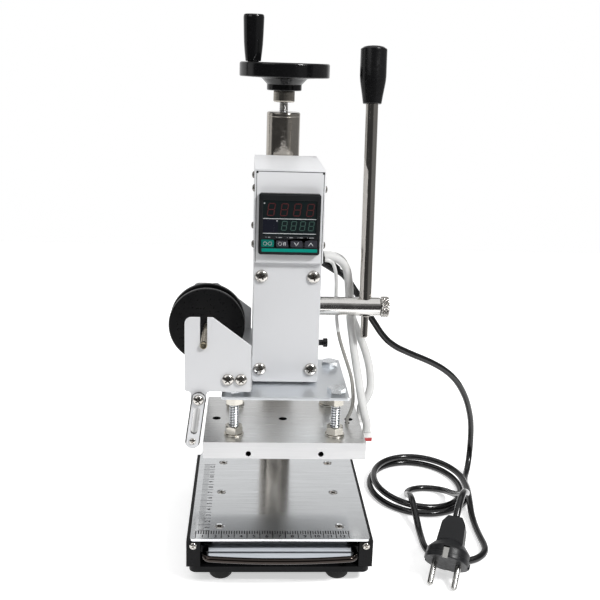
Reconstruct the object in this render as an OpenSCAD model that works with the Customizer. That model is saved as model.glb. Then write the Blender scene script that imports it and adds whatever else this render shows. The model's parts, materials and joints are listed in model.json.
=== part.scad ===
// Bench hot foil stamping machine: a sliding work table, a heated block worked by a hand lever
// through a rack and pinion, a head that a handwheel raises on a column, and a foil roll holder.
// Frame: X to the operator's right, Y to the back, Z up, origin on the bench under the base's middle.

/* [Base] */
// Width of the base plate
base_w = 142; // [136:1:170]
// Length of the base plate, front to back
base_l = 236; // [230:1:280]
// Thickness of the base plate
base_t = 5; // [4:0.5:9]
// Corner radius of the base plate
base_r = 6; // [3:1:10]
// Diameter of a rubber foot
foot_d = 19; // [15:1:24]
// Height of a rubber foot
foot_h = 9; // [7:0.5:14]
// Middle of a foot from the side of the base
foot_side = 24.5; // [20:0.5:34]
// Middle of a foot from the front or back of the base
foot_end = 13; // [13:0.5:20]

/* [Rails] */
// Width of a side rail
rail_w = 10.8; // [9:0.2:14]
// Overhang of a side rail past the side of the base plate
rail_over = 2; // [0:0.5:4]
// Height of a side rail
rail_h = 22.5; // [21:0.5:28]
// Length of a side rail
rail_l = 158; // [150:1:160]
// Depth of the groove that the table runs in
groove_depth = 5; // [3:0.5:7]
// Height of the groove that the table runs in
groove_h = 5; // [4:0.5:7]
// Wall that closes the groove at the front
groove_stop = 6; // [4:1:10]

/* [Table] */
// Width of the steel work plate
plate_w = 140; // [130:1:150]
// Length of the steel work plate
plate_l = 158; // [150:1:160]
// Thickness of the steel work plate
plate_t = 2; // [1.5:0.5:4]
// Overhang of the work plate past the front of the base
plate_lip = 2; // [0:0.5:5]
// Thickness of the aluminium slider
slider_t = 9; // [7:0.5:10]
// Way that the table pulls out
table_travel = 90; // [40:5:95]
// Distance of the plate screws from the middle, sideways
plate_screw_x = 48; // [40:1:50]
// Distance of the end plate screws from the front and back edges
plate_screw_end = 20.5; // [15:0.5:30]
// Diameter of the bow handle
handle_d = 4.8; // [4:0.2:7]
// Distance between the handle's two legs
handle_span = 116.4; // [112:0.2:118]
// Reach of the handle's legs in front of the slider
handle_reach = 6; // [4:0.5:20]
// Width of the table's aluminium slider
slider_w = 111.4; // [108:0.2:112]

/* [Column] */
// Diameter of the column
column_d = 30; // [26:0.5:32]
// Bore of the column
column_bore = 20; // [18:0.5:21]
// Height of the column above the base plate
column_h = 336; // [325:1:345]
// Place of the column's middle behind the base's middle
column_y = 75; // [74:0.5:78]
// Place of the column to the right of the base's middle
column_x = 1; // [-4:0.5:4]
// Place of the head to the right of the base's middle
head_x = 3; // [-6:0.5:6]
// Diameter of the column's flange
flange_d = 64; // [60:1:72]
// Thickness of the column's flange
flange_t = 12; // [8:1:16]

/* [Handwheel] */
// Outer diameter of the handwheel
wheel_d = 80; // [70:1:96]
// Height of the wheel's rim
rim_h = 12.5; // [9:0.5:15]
// Width of the wheel's rim
rim_w = 7; // [5:0.5:9]
// Diameter of the wheel's hub
hub_d = 31; // [24:1:34]
// Diameter of the lead screw
screw_d = 8; // [6:0.5:10]
// Diameter of the nickel collar under the wheel
collar_d = 19; // [15:0.5:24]
// Height of the nickel collar under the wheel
collar_h = 10; // [6:0.5:14]
// Length of bare screw between the column and the collar
neck_h = 8.6; // [4:0.2:14]
// Distance of the crank grip from the wheel's axis
crank_r = 28.5; // [24:0.5:31]
// Angle of the crank grip round the wheel, from the right
crank_angle = 190; // [150:5:230]
// Length of the crank grip
grip_l = 39.5; // [30:0.5:50]
// Diameter of the crank grip at the top
grip_d = 18.2; // [15:0.2:20]

/* [Head] */
// Width of the head
head_w = 54; // [52:1:54]
// Height of the head's underside above the bench
head_z = 142.5; // [140:0.5:150]
// Height of the head block
head_h = 101; // [98:0.5:106]
// Place of the head's front face, from the base's middle
head_front = -48; // [-49:0.5:-47]
// Thickness of the white front cover
cover_t = 3; // [2:0.5:4]
// Way that the handwheel lowers the head
head_down = 28; // [10:1:28]
// Way that the handwheel raises the head
head_up = 12; // [5:1:14]
// Height of the sleeve that runs on the column
sleeve_h = 90; // [70:1:92]
// Wall of the sleeve that runs on the column
sleeve_wall = 9; // [7:0.5:12]

/* [Control box] */
// Width of the control box
box_w = 55; // [55:0.5:60]
// Height of the control box
box_h = 73.5; // [70:0.5:80]
// Thickness of the box's sheet metal
sheet_t = 1.5; // [1:0.25:2]
// Overhang of the box past the front cover
box_lip = 4; // [2:0.5:8]
// Side of the temperature controller's bezel
bezel_w = 48; // [48:0.5:50]
// Thickness of the bezel in front of the panel
bezel_t = 6; // [4.5:0.5:9]
// Height of the bezel's middle above the box's floor
bezel_z = 31.6; // [27:0.2:40]
// Depth of the temperature controller's case
case_l = 78; // [60:1:90]

/* [Lever] */
// Diameter of the pinion shaft
shaft_d = 16; // [14:0.5:17]
// Height of the pinion shaft above the head's underside
shaft_h = 54.5; // [50:0.5:58]
// Bare length of the pinion shaft outside the head
shaft_out = 55; // [50:1:75]
// Distance of the lever from the shaft's outer end
lever_inset = 13; // [11:0.5:18]
// Lever's lean to the back at rest
lever_lean = 7; // [0:1:15]
// Diameter of the lever rod
lever_d = 10.3; // [8:0.1:11]
// Distance from the shaft's axis to the top of the knob
lever_l = 217; // [180:1:240]
// Length of the lever's knob
knob_l = 47; // [36:1:56]
// Diameter of the lever's knob
knob_d = 22; // [17:0.2:26]
// Teeth of the pinion
pinion_teeth = 16; // [14:1:18]
// Size of a tooth: the pitch divided by pi
tooth_module = 1.5; // [1.25:0.25:1.5]
// Turn of the lever, in degrees
lever_turn = 95; // [60:5:95]

/* [Heater] */
// Width of the ram
ram_w = 29; // [24:0.5:30]
// Width of the zinc plate under the ram
carrier_w = 102; // [96:1:110]
// Length of the zinc plate under the ram
carrier_l = 96; // [90:1:100]
// Thickness of the zinc plate under the ram
carrier_t = 2.5; // [2:0.5:5]
// Length of the stand-off bolts between plate and heater block
standoff_h = 33.5; // [26:0.5:36]
// Width of the heater block
block_w = 130; // [120:1:130]
// Length of the heater block, front to back
block_l = 100; // [96:1:100]
// Thickness of the heater block
block_t = 14; // [13:0.5:16]
// Diameter of a cartridge heater
cartridge_d = 10; // [6:0.5:10]

/* [Foil holder] */
// Distance between the two bracket sheets
foil_span = 109; // [100:1:112]
// Thickness of a bracket sheet
bracket_t = 2; // [1.5:0.5:3]
// Diameter of the spool's flanges
flange_disc_d = 63; // [50:1:66]
// Diameter of the spool's threaded rod
spool_rod_d = 5.5; // [5:0.1:6]
// Width of the spool over both flanges
spool_w = 23; // [14:0.5:40]
// Place of the spool behind the middle of the foil holder
spool_shift = 7; // [-20:1:20]
// Length of the guide arms between pivot and guide rod
arm_l = 35.3; // [30:0.1:38]

/* [Cord and leads] */
// Diameter of the mains cord
cord_d = 6; // [5:0.5:7]
// Diameter of the heater leads' sleeves
sleeve_d = 7; // [5:0.5:7]
// Diameter of the thermocouple's lead
probe_d = 3; // [2:0.5:3.5]
// Turns of the cord's coil that spiral inwards on the bench
turns_in = 1; // [1:1:2]
// Step of the coil's spiral for each turn
coil_step = 8; // [7.5:0.5:9]

/* [Clearances] */
// Running clearance between a shaft and its bore, on the radius
running_fit = 0.05; // [0.02:0.01:0.1]
// Clearance of a screw in its hole, on the radius
screw_fit = 0.1; // [0.05:0.05:0.2]
// Sliding clearance between flat faces
slide_gap = 0.3; // [0.2:0.05:0.5]
// Play between the rack's teeth and the pinion's
tooth_play = 0.25; // [0.15:0.05:0.4]

/* [Hidden] */
$fn = 48;

// Heights of the fixed stack
base_top = foot_h + base_t;
rail_top = base_top + rail_h;
plate_under = rail_top + 2 * slide_gap;
plate_top = plate_under + plate_t;
base_front = -base_l / 2;
rail_inner = base_w / 2 + rail_over - rail_w;
slider_z = base_top + rail_h / 3;
slider_top = slider_z + slider_t;
groove_mid = slider_z + slider_t / 2;
handle_z = slider_top - handle_d / 2 - 1;
ear_l = 10;
ear_back = 3;
ear_edge = 3.7;
leg_fit = 0.05;
ear_reach = handle_span / 2 + ear_edge;
ear_relief = ear_reach + slide_gap - rail_inner;

// Table
plate_front = base_front - plate_lip;
slider_l = rail_l - 4;
tongue_front = base_front + groove_stop + table_travel + 2;
riser_setback = 6;
riser_w = 2 * (plate_screw_x + 5);
plate_screw_pitch = (plate_l - 2 * plate_screw_end) / 2;
countersunk_d = 8;
countersunk_h = 2;
small_shank_d = 4;

// Column, screw and wheel
column_top = base_top + column_h;
cap_t = 4;
cap_spigot = 14;
cap_top = column_top + cap_t;
collar_z = cap_top + neck_h;
hub_z = collar_z + collar_h;
hub_h = 5.4;
web_z = hub_z + 11;
web_t = 4;
rim_z = hub_z + 11.5;
rim_top = rim_z + rim_h;
boss_d = 10;
crank_pin_d = 6;
crank_head_d = 9;
crank_head_h = 3;
grip_z = rim_top + 0.4;
crank_x = column_x + crank_r * cos(crank_angle);
crank_y = column_y + crank_r * sin(crank_angle);
nut_h = 16;
nut_z = head_z + 47.5;
key_w = 10;
slot_margin = 3;

// Head
body_front = head_front + cover_t;
body_back = column_y - column_d / 2 - 6;
head_top = head_z + head_h;
sleeve_z = head_z + (head_h - sleeve_h) / 2;
ram_gap = 2;
lock_h = 29.3;
lock_head_d = 7.4;
lock_head_h = 3.5;
web_in = 6;
web_l = 12;

// Control box
box_front_y = head_front - box_lip;
box_back = column_y - column_d / 2 - 3;
box_top = head_top + box_h;
bezel_mid = head_top + bezel_z;
case_w = bezel_w - 3.2;
key_w_x = 10.2;
key_h = 6;
key_depth = 2.4;
key_row = bezel_mid - bezel_w / 2 + 9;
key_pitch = 11.3;
window_depth = 0.8;
box_screw_z = [head_top + 13.5, head_top + 58];
box_screw_y = [box_front_y + 7, box_back - 18];
box_screw_d = 3;

// Rack, pinion and lever
pitch_r = tooth_module * pinion_teeth / 2;
ram_depth = 24.5;
ram_front = body_front + 0.5;
rack_y = ram_front + ram_depth;
shaft_y = rack_y + pitch_r;
shaft_z = head_z + shaft_h;
stroke = pitch_r * lever_turn * PI / 180;
tooth_pitch = PI * tooth_module;
tooth_out = 0.8 * tooth_module;
tooth_in = 1.25 * tooth_module;
ram_over = 17;
ram_top = shaft_z + stroke + ram_over;
channel_half = ram_w / 2 + slide_gap;
shaft_end = head_x + head_w / 2 + shaft_out;
lever_x = shaft_end - lever_inset;
stub_d = 6.4;
stub_l = 27;
clamp_d = 18;
clamp_h = 7;

// Ram plate, stand-offs and heater block
carrier_top = head_z - ram_gap;
carrier_z = carrier_top - carrier_t;
block_top = carrier_z - standoff_h;
block_z = block_top - block_t;
block_y = body_front + 10;
carrier_y = body_front + 14;
bolt_d = 8;
bolt_af = 13;
bolt_head_h = 5.3;
nut_t = 6.5;
washer_t = 1.6;
bolt_x = 41;
bolt_y = 33.5;
bolt_in = 8;
cartridge_y = 20;
cartridge_z = block_z + block_t / 2;
cartridge_l = 110;
boot_d = 8.4;
boot_out = 4.2;
boot_top = cartridge_z + boot_d / 2;
probe_in = 11;
probe_at = [head_x + block_w / 2 - probe_in, block_y - 8];
probe_end = [probe_at[0], probe_at[1], block_top];

// Foil holder
foil_front = -80;
foil_back = foil_front + foil_span;
bar_w = 23;
bar_h = 18;
bar_z = head_z + 4.5;
head_left = head_x - head_w / 2;
head_right = head_x + head_w / 2;
spool_x = head_left - 38;
spool_z = head_z + 41.5;
spool_mid = (foil_front + foil_back) / 2 + spool_shift;
block_left = head_x - block_w / 2;
arm_clear = 3.6;
arm_pivot = [block_left - arm_clear, head_z - 2.5];
arm_tilt = 7.5;
arm_w = 11.4;
arm_t = 2.7;
arm_end = [arm_pivot[0] - arm_l * sin(arm_tilt), arm_pivot[1] - arm_l * cos(arm_tilt)];
pan_d = 9.5;
pan_h = 3;
pan_shank_d = 5;
bracket_screw_in = 8.7;
bracket_screw_pitch = 10.2;
bracket_screw_x = [head_left - bracket_screw_in - bracket_screw_pitch, head_left - bracket_screw_in];
bracket_screw_z = bar_z + bar_h / 2;
guide_rod_d = 5;

// Mains cord: where it leaves the head, the coil on the bench, and the plug
gland_tilt = 35;
gland_l = 22;
gland_y = 30;
gland_h = 89.5;
gland_z = head_z + gland_h;
gland_collar = 3;
gland_shank_d = 9.2;
gland_way = [cos(gland_tilt), 0, -sin(gland_tilt)];
gland_end = [head_right + gland_collar, gland_y, gland_z] + gland_l * gland_way;
cord_z = cord_d / 2 + 0.02;
coil_at = [138.5, 45];
coil_a = 49.5;
coil_b = 58;
coil_climb = cord_d + 0.5;
coil_end_x = coil_at[0] + coil_a - coil_step / 2;
plug_pin_d = 4.8;
plug_pin_l = 19;
plug_pin_pitch = 19;
plug_body_r = 18.4;
plug_body_l = 17;
plug_grip_l = 22;
plug_tilt = 42;
plug_heading = 246;
plug_back = [-cos(plug_heading) * cos(plug_tilt), -sin(plug_heading) * cos(plug_tilt), sin(plug_tilt)];
plug_toes = [127.4, -128, plug_pin_d / 2 * cos(plug_tilt) + 0.02];
plug_end = plug_toes + (plug_pin_l + plug_body_l + plug_grip_l) * plug_back;
drop_route = [
    gland_end, gland_end + cord_d * gland_way, [61.6, 30, 209.6], [67, 30, 202], [72, 30, 194.5], [77, 31, 186.5],
    [82, 31, 178], [88, 32, 169], [94, 33, 160.5], [101, 34, 153], [109, 36, 147], [118, 39, 142],
    [128, 42, 137], [138, 46, 132], [148, 50, 126.5], [158, 54, 120], [167, 58, 112.5], [175, 63, 103.5],
    [182, 68, 93], [188, 73, 81.5], [193, 79, 69], [197, 84.5, 56], [199.5, 89, 43], [200.5, 91, 32],
    [200.2, 89.5, 21.5], [198.5, 84.5, 12], [195.5, 76.5, 5.5], [191.5, 66, 3.2], [188.8, 56, cord_z],
    [coil_at[0] + coil_a, coil_at[1] + cord_d, cord_z], [coil_at[0] + coil_a, coil_at[1], cord_z]
];

// Second loop of the hank, drawn towards the operator, and the arch of the cord into the plug
front_fold_at = [151, -66];
front_fold_r = 26;
back_fold_at = [145, 20];
back_fold_r = 20;
fold_step = 20;
arch_r = 26;
arch_fall = 30;
arch_step = 12;
plug_level = [-cos(plug_heading), -sin(plug_heading), 0];
arch_start = plug_end + cord_d * plug_back;
function front_fold(a) = [
    front_fold_at[0] + front_fold_r * cos(a),
    front_fold_at[1] - front_fold_r * sin(a),
    cord_z
];
function back_fold(a) = [
    back_fold_at[0] + back_fold_r * cos(a),
    back_fold_at[1] + back_fold_r * sin(a),
    cord_z + (a > 90 ? 3.5 : 5.8) * pow((a - 90) / 90, 2)
];
function arch(a) =
    arch_start + arch_r * (sin(plug_tilt) - sin(a)) * plug_level + [0, 0, arch_r * (cos(a) - cos(plug_tilt))];
coil_last = [coil_end_x, coil_at[1], cord_z + coil_climb];
tail_route = [
    coil_last, coil_last - [0, cord_d, 0], coil_last - [0.5, 19, 0], coil_last - [2.2, 33, 0.1],
    [179.7, -2, 8.2], [178, -16, 5.6], [177.3, -30, 3.6], [177, -44, cord_z], [177, -55, cord_z],
    for (a = [0:fold_step:180]) front_fold(a),
    [125, -54, 3.05], [125, -42, 4.2], [124.9, -30, 7.8], [124.6, -17, 12], [124.4, -4, 14.6], [124.6, 8, 11.6],
    for (a = [180:-fold_step:0]) back_fold(a),
    [166, 8, 13.4], [167, -4, 18.9], [167.3, -16, 24.9], [166.5, -30, 32.6], [163.9, -44, 40.6],
    for (a = [-arch_fall:arch_step:plug_tilt]) arch(a),
    plug_end
];

bush_end = head_right + 6;
lead_h = 93.5;
lead_z = head_z + lead_h;
boot_x = head_x + block_w / 2 + boot_out - 0.2;
boot_a = [boot_x, block_y - cartridge_y, boot_top];
boot_b = [boot_x, block_y + cartridge_y, boot_top];

// Heater leads and thermocouple lead, from the head's right wall to the heater block
lead_a_route = [
    [bush_end, 6, lead_z], [bush_end + sleeve_d, 6, lead_z], [50.5, 6, 233.5], [56, 6.5, 227], [58.5, 7, 217],
    [60, 7.5, 205], [61, 7, 193], [61.5, 5, 181], [63, 0, 169], [64.5, -7, 157], [66, -17, 146],
    [67.2, -28, 136.5], boot_a + [-4, 16, 26.3], boot_a + [-3, 7, 19.3], boot_a + [-1.6, 1.5, 13],
    boot_a + [0, 0, sleeve_d], boot_a
];
lead_b_route = [
    [bush_end, 18, lead_z], [bush_end + sleeve_d, 18, lead_z], [50.5, 18, 233.5], [56, 18.5, 227],
    [59, 19, 217], [60.5, 19.5, 205], [61.5, 19, 193], [64.2, 17.5, 181], [69, 14.5, 169], [74.5, 10, 157],
    [78.5, 4, 145], [80.5, -2.5, 133], boot_b + [8, 6, 20.5], boot_b + [4.6, 1.6, 13.6],
    boot_b + [0, 0, sleeve_d], boot_b
];
probe_route = [
    [bush_end, -5, lead_z], [bush_end + probe_d, -5, lead_z], [43, -3, 233.5], [46, 0, 226], [47.5, 3.5, 216],
    [48, 5.5, 206], [48.5, 6, 196], [49, 4.5, 186], [50, 1.5, 176], [52, -3, 166], [55, -9, 156.5],
    [58.2, -16, 147.5], [61, -24, 138.5],
    probe_end + [5, 11, 24.5], probe_end + [4.5, 4, 15.5], probe_end + [2, 0.5, 8.5], probe_end + [0, 0, 4],
    probe_end - [0, 0, 6]
];

// Turns a screw or a tube to point along an axis
module to_front() { rotate([90, 0, 0]) children(); }
module to_back() { rotate([-90, 0, 0]) children(); }
module to_right() { rotate([0, 90, 0]) children(); }
module to_left() { rotate([0, -90, 0]) children(); }

// Rectangle with round corners, round the origin
module rounded_rect(w, l, r) {
    square([w - 2 * r, l], center = true);
    square([w, l - 2 * r], center = true);
    for (x = [-1, 1], y = [-1, 1])
        translate([x * (w / 2 - r), y * (l / 2 - r)]) circle(r);
}

// Points of the outline whose corners [x, y, radius] are rounded off by arcs
function unit(v) = v / norm(v);
function corner_arc(p, q, s, r) =
    let (u = unit(p - q), v = unit(s - q), half = acos(u * v) / 2)
    let (c = q + unit(u + v) * r / sin(half), a = q + u * r / tan(half) - c, b = q + v * r / tan(half) - c)
    let (start = atan2(a[1], a[0]), turn = atan2(b[1], b[0]) - start)
    let (sweep = turn > 180 ? turn - 360 : turn < -180 ? turn + 360 : turn)
    [for (i = [0:6]) c + r * [cos(start + sweep * i / 6), sin(start + sweep * i / 6)]];
function xy(p) = [p[0], p[1]];
function rounded(points) = let (n = len(points)) [
    for (i = [0:n - 1])
        let (q = points[i], p = points[(i + n - 1) % n], s = points[(i + 1) % n])
        each q[2] > 0 ? corner_arc(xy(p), xy(q), xy(s), q[2]) : [xy(q)]
];

// Pan-head screw, its head above the origin and its shank below
module pan_screw(head_d, head_h, shank_d, shank_l) {
    rotate_extrude()
        polygon([
            [0, -shank_l], [shank_d / 2, -shank_l], [shank_d / 2, 0], [head_d / 2, 0],
            [head_d / 2, head_h * 0.4], [head_d * 0.42, head_h * 0.8], [head_d * 0.3, head_h], [0, head_h]
        ]);
}

// Countersunk screw, flush with the origin
module countersunk_screw(head_d, head_h, shank_d, shank_l) {
    rotate_extrude()
        polygon([[0, -shank_l], [shank_d / 2, -shank_l], [shank_d / 2, -head_h], [head_d / 2, 0], [0, 0]]);
}

// Hexagon prism across the flats, standing on the origin
module hexagon(af, h) { cylinder(d = af / cos(30), h = h, $fn = 6); }

// Rings of a round tube that follows points, and the tube
function tangents(p) = let (n = len(p)) [
    for (i = [0:n - 1]) unit(p[min(i + 1, n - 1)] - p[max(i - 1, 0)])
];
function square_to(n, t) = unit(n - (n * t) * t);
function side_normals(t) = [
    for (i = 0, n = square_to([0.3, 0.2, 1], t[0]); i < len(t); i = i + 1, n = i < len(t) ? square_to(n, t[i]) : n) n
];
function tube_points(p, r, sides) =
    let (t = tangents(p), n = side_normals(t))
    [for (i = [0:len(p) - 1], k = [0:sides - 1])
        p[i] + r * (cos(360 * k / sides) * n[i] + sin(360 * k / sides) * cross(t[i], n[i]))];
function tube_faces(rings, sides) = [
    for (k = [1:sides - 2]) [0, k, k + 1],
    for (i = [0:rings - 2], k = [0:sides - 1])
        let (a = i * sides + k, b = i * sides + (k + 1) % sides)
        each [[a, a + sides, b + sides], [a, b + sides, b]],
    for (k = [1:sides - 2]) (rings - 1) * sides * [1, 1, 1] + [0, k + 1, k]
];
module tube(p, d, sides) {
    polyhedron(tube_points(p, d / 2, sides), tube_faces(len(p), sides), convexity = 10);
}

// Coil of the cord: it spirals in on the bench, climbs a layer in half a turn and spirals out again
turns_all = 2 * turns_in;
climb_at = turns_in;
function ease(u) = u * u * (3 - 2 * u);
function coil_shrink(t) =
    t < climb_at ? coil_step * t :
    t < climb_at + 0.5 ? coil_step * climb_at :
    coil_step * (climb_at - (t - climb_at - 0.5));
function coil_height(t) = cord_z + coil_climb * ease(min(1, max(0, (t - climb_at) / 0.5)));
function coil_point(t) = [
    coil_at[0] + (coil_a - coil_shrink(t)) * cos(360 * t),
    coil_at[1] - (coil_b - coil_shrink(t)) * sin(360 * t),
    coil_height(t)
];
coil_rings = 24 * turns_all;
coil_route = [
    coil_point(0),
    for (i = [1:coil_rings - 1]) coil_point(i / 24),
    coil_point(turns_all)
];
fine = 4;
coil_fine = [for (i = [0:fine * coil_rings]) coil_point(i / (24 * fine))];
tail_fine = [
    for (i = [0:len(tail_route) - 2], k = [0:2]) tail_route[i] + (tail_route[i + 1] - tail_route[i]) * k / 3
];
hank_fine = concat(coil_fine, tail_fine);
apart = 7 * fine;
coil_gap = min([
    for (i = [0:len(hank_fine) - 1], j = [i + apart:1:len(hank_fine) - 1])
        norm(hank_fine[i] - hank_fine[j])
]) - cord_d;
echo(coil_gap = coil_gap);

// Base
module base_plate() {
    color("#1c1d20")
        difference() {
            translate([0, 0, foot_h]) linear_extrude(base_t) rounded_rect(base_w, base_l, base_r);
            at_feet() cylinder(d = small_shank_d + 1 + 2 * screw_fit, h = base_top + 1);
            at_flange_screws() translate([0, 0, -base_t - 1]) cylinder(d = 6 + 2 * screw_fit, h = base_t + 2);
        }
}

module at_feet() {
    for (x = [-1, 1], y = [-1, 1])
        translate([x * (base_w / 2 - foot_side), y * (base_l / 2 - foot_end), 0]) children();
}

module at_flange_screws() {
    for (a = [45:90:315])
        translate([column_x, column_y, base_top]) rotate(a) translate([flange_d / 2 - 8, 0, 0]) children();
}

foot_sink = foot_h / 2;

module feet() {
    color("#202020")
        at_feet()
            rotate_extrude()
                polygon([
                    [foot_d * 0.27, 0], [foot_d * 0.4, 0], [foot_d * 0.47, foot_h * 0.18], [foot_d / 2, foot_h * 0.55],
                    [foot_d / 2, foot_h], [small_shank_d / 2 + 0.5 + screw_fit, foot_h],
                    [small_shank_d / 2 + 0.5 + screw_fit, foot_sink], [foot_d * 0.27, foot_sink]
                ]);
}

module foot_screws() {
    color("silver")
        at_feet()
            translate([0, 0, foot_sink]) rotate([180, 0, 0])
                pan_screw(foot_d * 0.48, foot_sink * 0.7, small_shank_d + 1, base_top - foot_sink);
}

module rail_section() {
    difference() {
        translate([rail_inner, base_top]) square([rail_w, rail_h]);
        translate([rail_inner - 1, groove_mid - groove_h / 2]) square([groove_depth + 1, groove_h]);
    }
}

module right_rail() {
    difference() {
        union() {
            translate([0, base_front + rail_l, 0]) to_front()
                linear_extrude(rail_l - groove_stop) rail_section();
            translate([rail_inner, base_front, base_top]) cube([rail_w, groove_stop, rail_h]);
        }
        at_rail_screw() translate([0, 0, -8.5]) cylinder(d = 3 + 2 * screw_fit, h = 9);
        if (ear_relief > leg_fit)
            translate([rail_inner - 1, base_front - 1, handle_z - handle_d / 2 - slide_gap])
                cube([ear_relief + 1, rail_l, slider_top - handle_z + handle_d / 2 + 2 * slide_gap]);
    }
}

module at_rail_screw() {
    translate([rail_inner + rail_w / 2, base_front, rail_top - 4.5]) to_front() children();
}

module side_rails() {
    color("#17181a")
        for (side = [0, 1]) mirror([side, 0, 0]) right_rail();
}

module rail_screws() {
    color("silver")
        for (side = [0, 1]) mirror([side, 0, 0]) at_rail_screw() pan_screw(6, 1.8, 3, 8);
}

// Column and its flange
module column() {
    slot_low = nut_z - nut_h / 2 - head_down - slot_margin;
    slot_high = nut_z + nut_h / 2 + head_up + slot_margin;
    color("#d9dadc")
        difference() {
            translate([column_x, column_y, base_top]) cylinder(d = column_d, h = column_h);
            translate([column_x, column_y, base_top - 1]) cylinder(d = column_bore, h = column_h + 2);
            translate([column_x - key_w / 2, column_y - column_d, slot_low]) cube([key_w, column_d, slot_high - slot_low]);
        }
}

module column_flange() {
    color("#c8cacc")
        difference() {
            translate([column_x, column_y, base_top])
                rotate_extrude()
                    polygon([
                        [column_d / 2 + running_fit, 0], [flange_d / 2, 0], [flange_d / 2, flange_t - 2],
                        [flange_d / 2 - 2, flange_t], [column_d / 2 + running_fit, flange_t]
                    ]);
            at_flange_screws() {
                translate([0, 0, -1]) cylinder(d = 6 + 2 * screw_fit, h = flange_t + 2);
            }
        }
}

module flange_screws() {
    color("#2a2a2c")
        at_flange_screws()
            translate([0, 0, flange_t]) difference() {
                union() {
                    cylinder(d = 10, h = 6);
                    translate([0, 0, -flange_t - base_t + 0.5]) cylinder(d = 6, h = flange_t + base_t);
                }
                translate([0, 0, 3]) hexagon(5, 4);
            }
}

module column_cap() {
    color("#d0d2d4")
        translate([column_x, column_y, column_top])
            rotate_extrude()
                polygon([
                    [screw_d / 2 + running_fit, -cap_spigot], [column_bore / 2 - running_fit, -cap_spigot],
                    [column_bore / 2 - running_fit, 0], [column_d / 2, 0], [column_d / 2, cap_t - 1],
                    [column_d / 2 - 1, cap_t], [screw_d / 2 + running_fit, cap_t]
                ]);
}

// Sliding table
module table_slider() {
    tongue_w = 2 * (rail_inner + groove_depth - slide_gap);
    tongue_h = groove_h - 2 * slide_gap;
    slider_back = base_front + slider_l;
    color("#c4c6c8")
        difference() {
            union() {
                translate([-slider_w / 2, base_front, slider_z]) cube([slider_w, slider_l, slider_t]);
                translate([-ear_reach, base_front + ear_back, groove_mid - 1])
                    cube([2 * ear_reach, ear_l, slider_top - groove_mid + 1]);
                translate([-tongue_w / 2, tongue_front, groove_mid - tongue_h / 2])
                    cube([tongue_w, slider_back - tongue_front, tongue_h]);
            }
            translate([-rail_inner, base_front - 1, groove_mid + 0.4])
                cube([2 * rail_inner, 2, 0.8]);
            for (x = [-1, 1])
                translate([x * handle_span / 2, base_front + ear_back, handle_z]) to_back() {
                    translate([0, 0, -1]) cylinder(d = leg_pin_d + 2 * screw_fit, h = ear_l + 2);
                    translate([0, 0, -ear_back - 1]) cylinder(d = handle_d + 2 * leg_fit, h = ear_back + 1);
                }
        }
}

module at_plate_screws() {
    for (x = [-1, 1], row = [0:2])
        translate([x * plate_screw_x, plate_front + plate_screw_end + row * plate_screw_pitch, plate_top]) children();
}

module table_riser() {
    color("#232427")
        difference() {
            translate([-riser_w / 2, base_front + riser_setback, slider_top])
                cube([riser_w, slider_l - riser_setback, plate_under - slider_top]);
            at_plate_screws()
                translate([0, 0, slider_top - plate_top - 1])
                    cylinder(d = small_shank_d + 2 * screw_fit, h = plate_top - slider_top);
        }
}

module work_plate() {
    color("#b9bcbf")
        difference() {
            translate([0, plate_front + plate_l / 2, plate_under]) linear_extrude(plate_t) rounded_rect(plate_w, plate_l, 3);
            at_plate_screws() {
                translate([0, 0, -plate_t - 1]) cylinder(d = small_shank_d + 2 * screw_fit, h = plate_t + 2);
                translate([0, 0, -countersunk_h - screw_fit])
                    cylinder(d1 = small_shank_d, d2 = countersunk_d + small_shank_d, h = 2 * countersunk_h);
            }
        }
}

module plate_screws() {
    color("#8f9294")
        at_plate_screws()
            translate([0, 0, -screw_fit])
                countersunk_screw(countersunk_d - 0.5, countersunk_h, small_shank_d, plate_top - slider_top - screw_fit);
}

// Bow handle: two legs, two bends and a slightly bowed bar between them
bend_r = 5;
bow = 7;
leg_pin_d = 3;
bend_x = handle_span / 2 - bend_r;
bow_r = bend_x / sin(bow) + bend_r;
handle_half = [
    [handle_span / 2, handle_reach + ear_back],
    for (a = [0:(90 - bow) / 5:90 - bow]) [bend_x + bend_r * cos(a), -bend_r * sin(a)],
    for (a = [bow * 3 / 4:-bow / 4:bow / 4]) [bow_r * sin(a), bend_x / tan(bow) - bow_r * cos(a)]
];
handle_route = [
    for (p = handle_half) [p[0], p[1], 0],
    [0, bend_x / tan(bow) - bow_r, 0],
    for (i = [len(handle_half) - 1:-1:0]) [-handle_half[i][0], handle_half[i][1], 0]
];

module table_handle() {
    color("#dcdddf")
        translate([0, base_front - handle_reach, handle_z]) {
            tube(handle_route, handle_d, 16);
            for (side = [-1, 1])
                translate([side * handle_span / 2, handle_reach - 1, 0]) to_back()
                    cylinder(d = leg_pin_d, h = ear_back + ear_l);
        }
}

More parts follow.
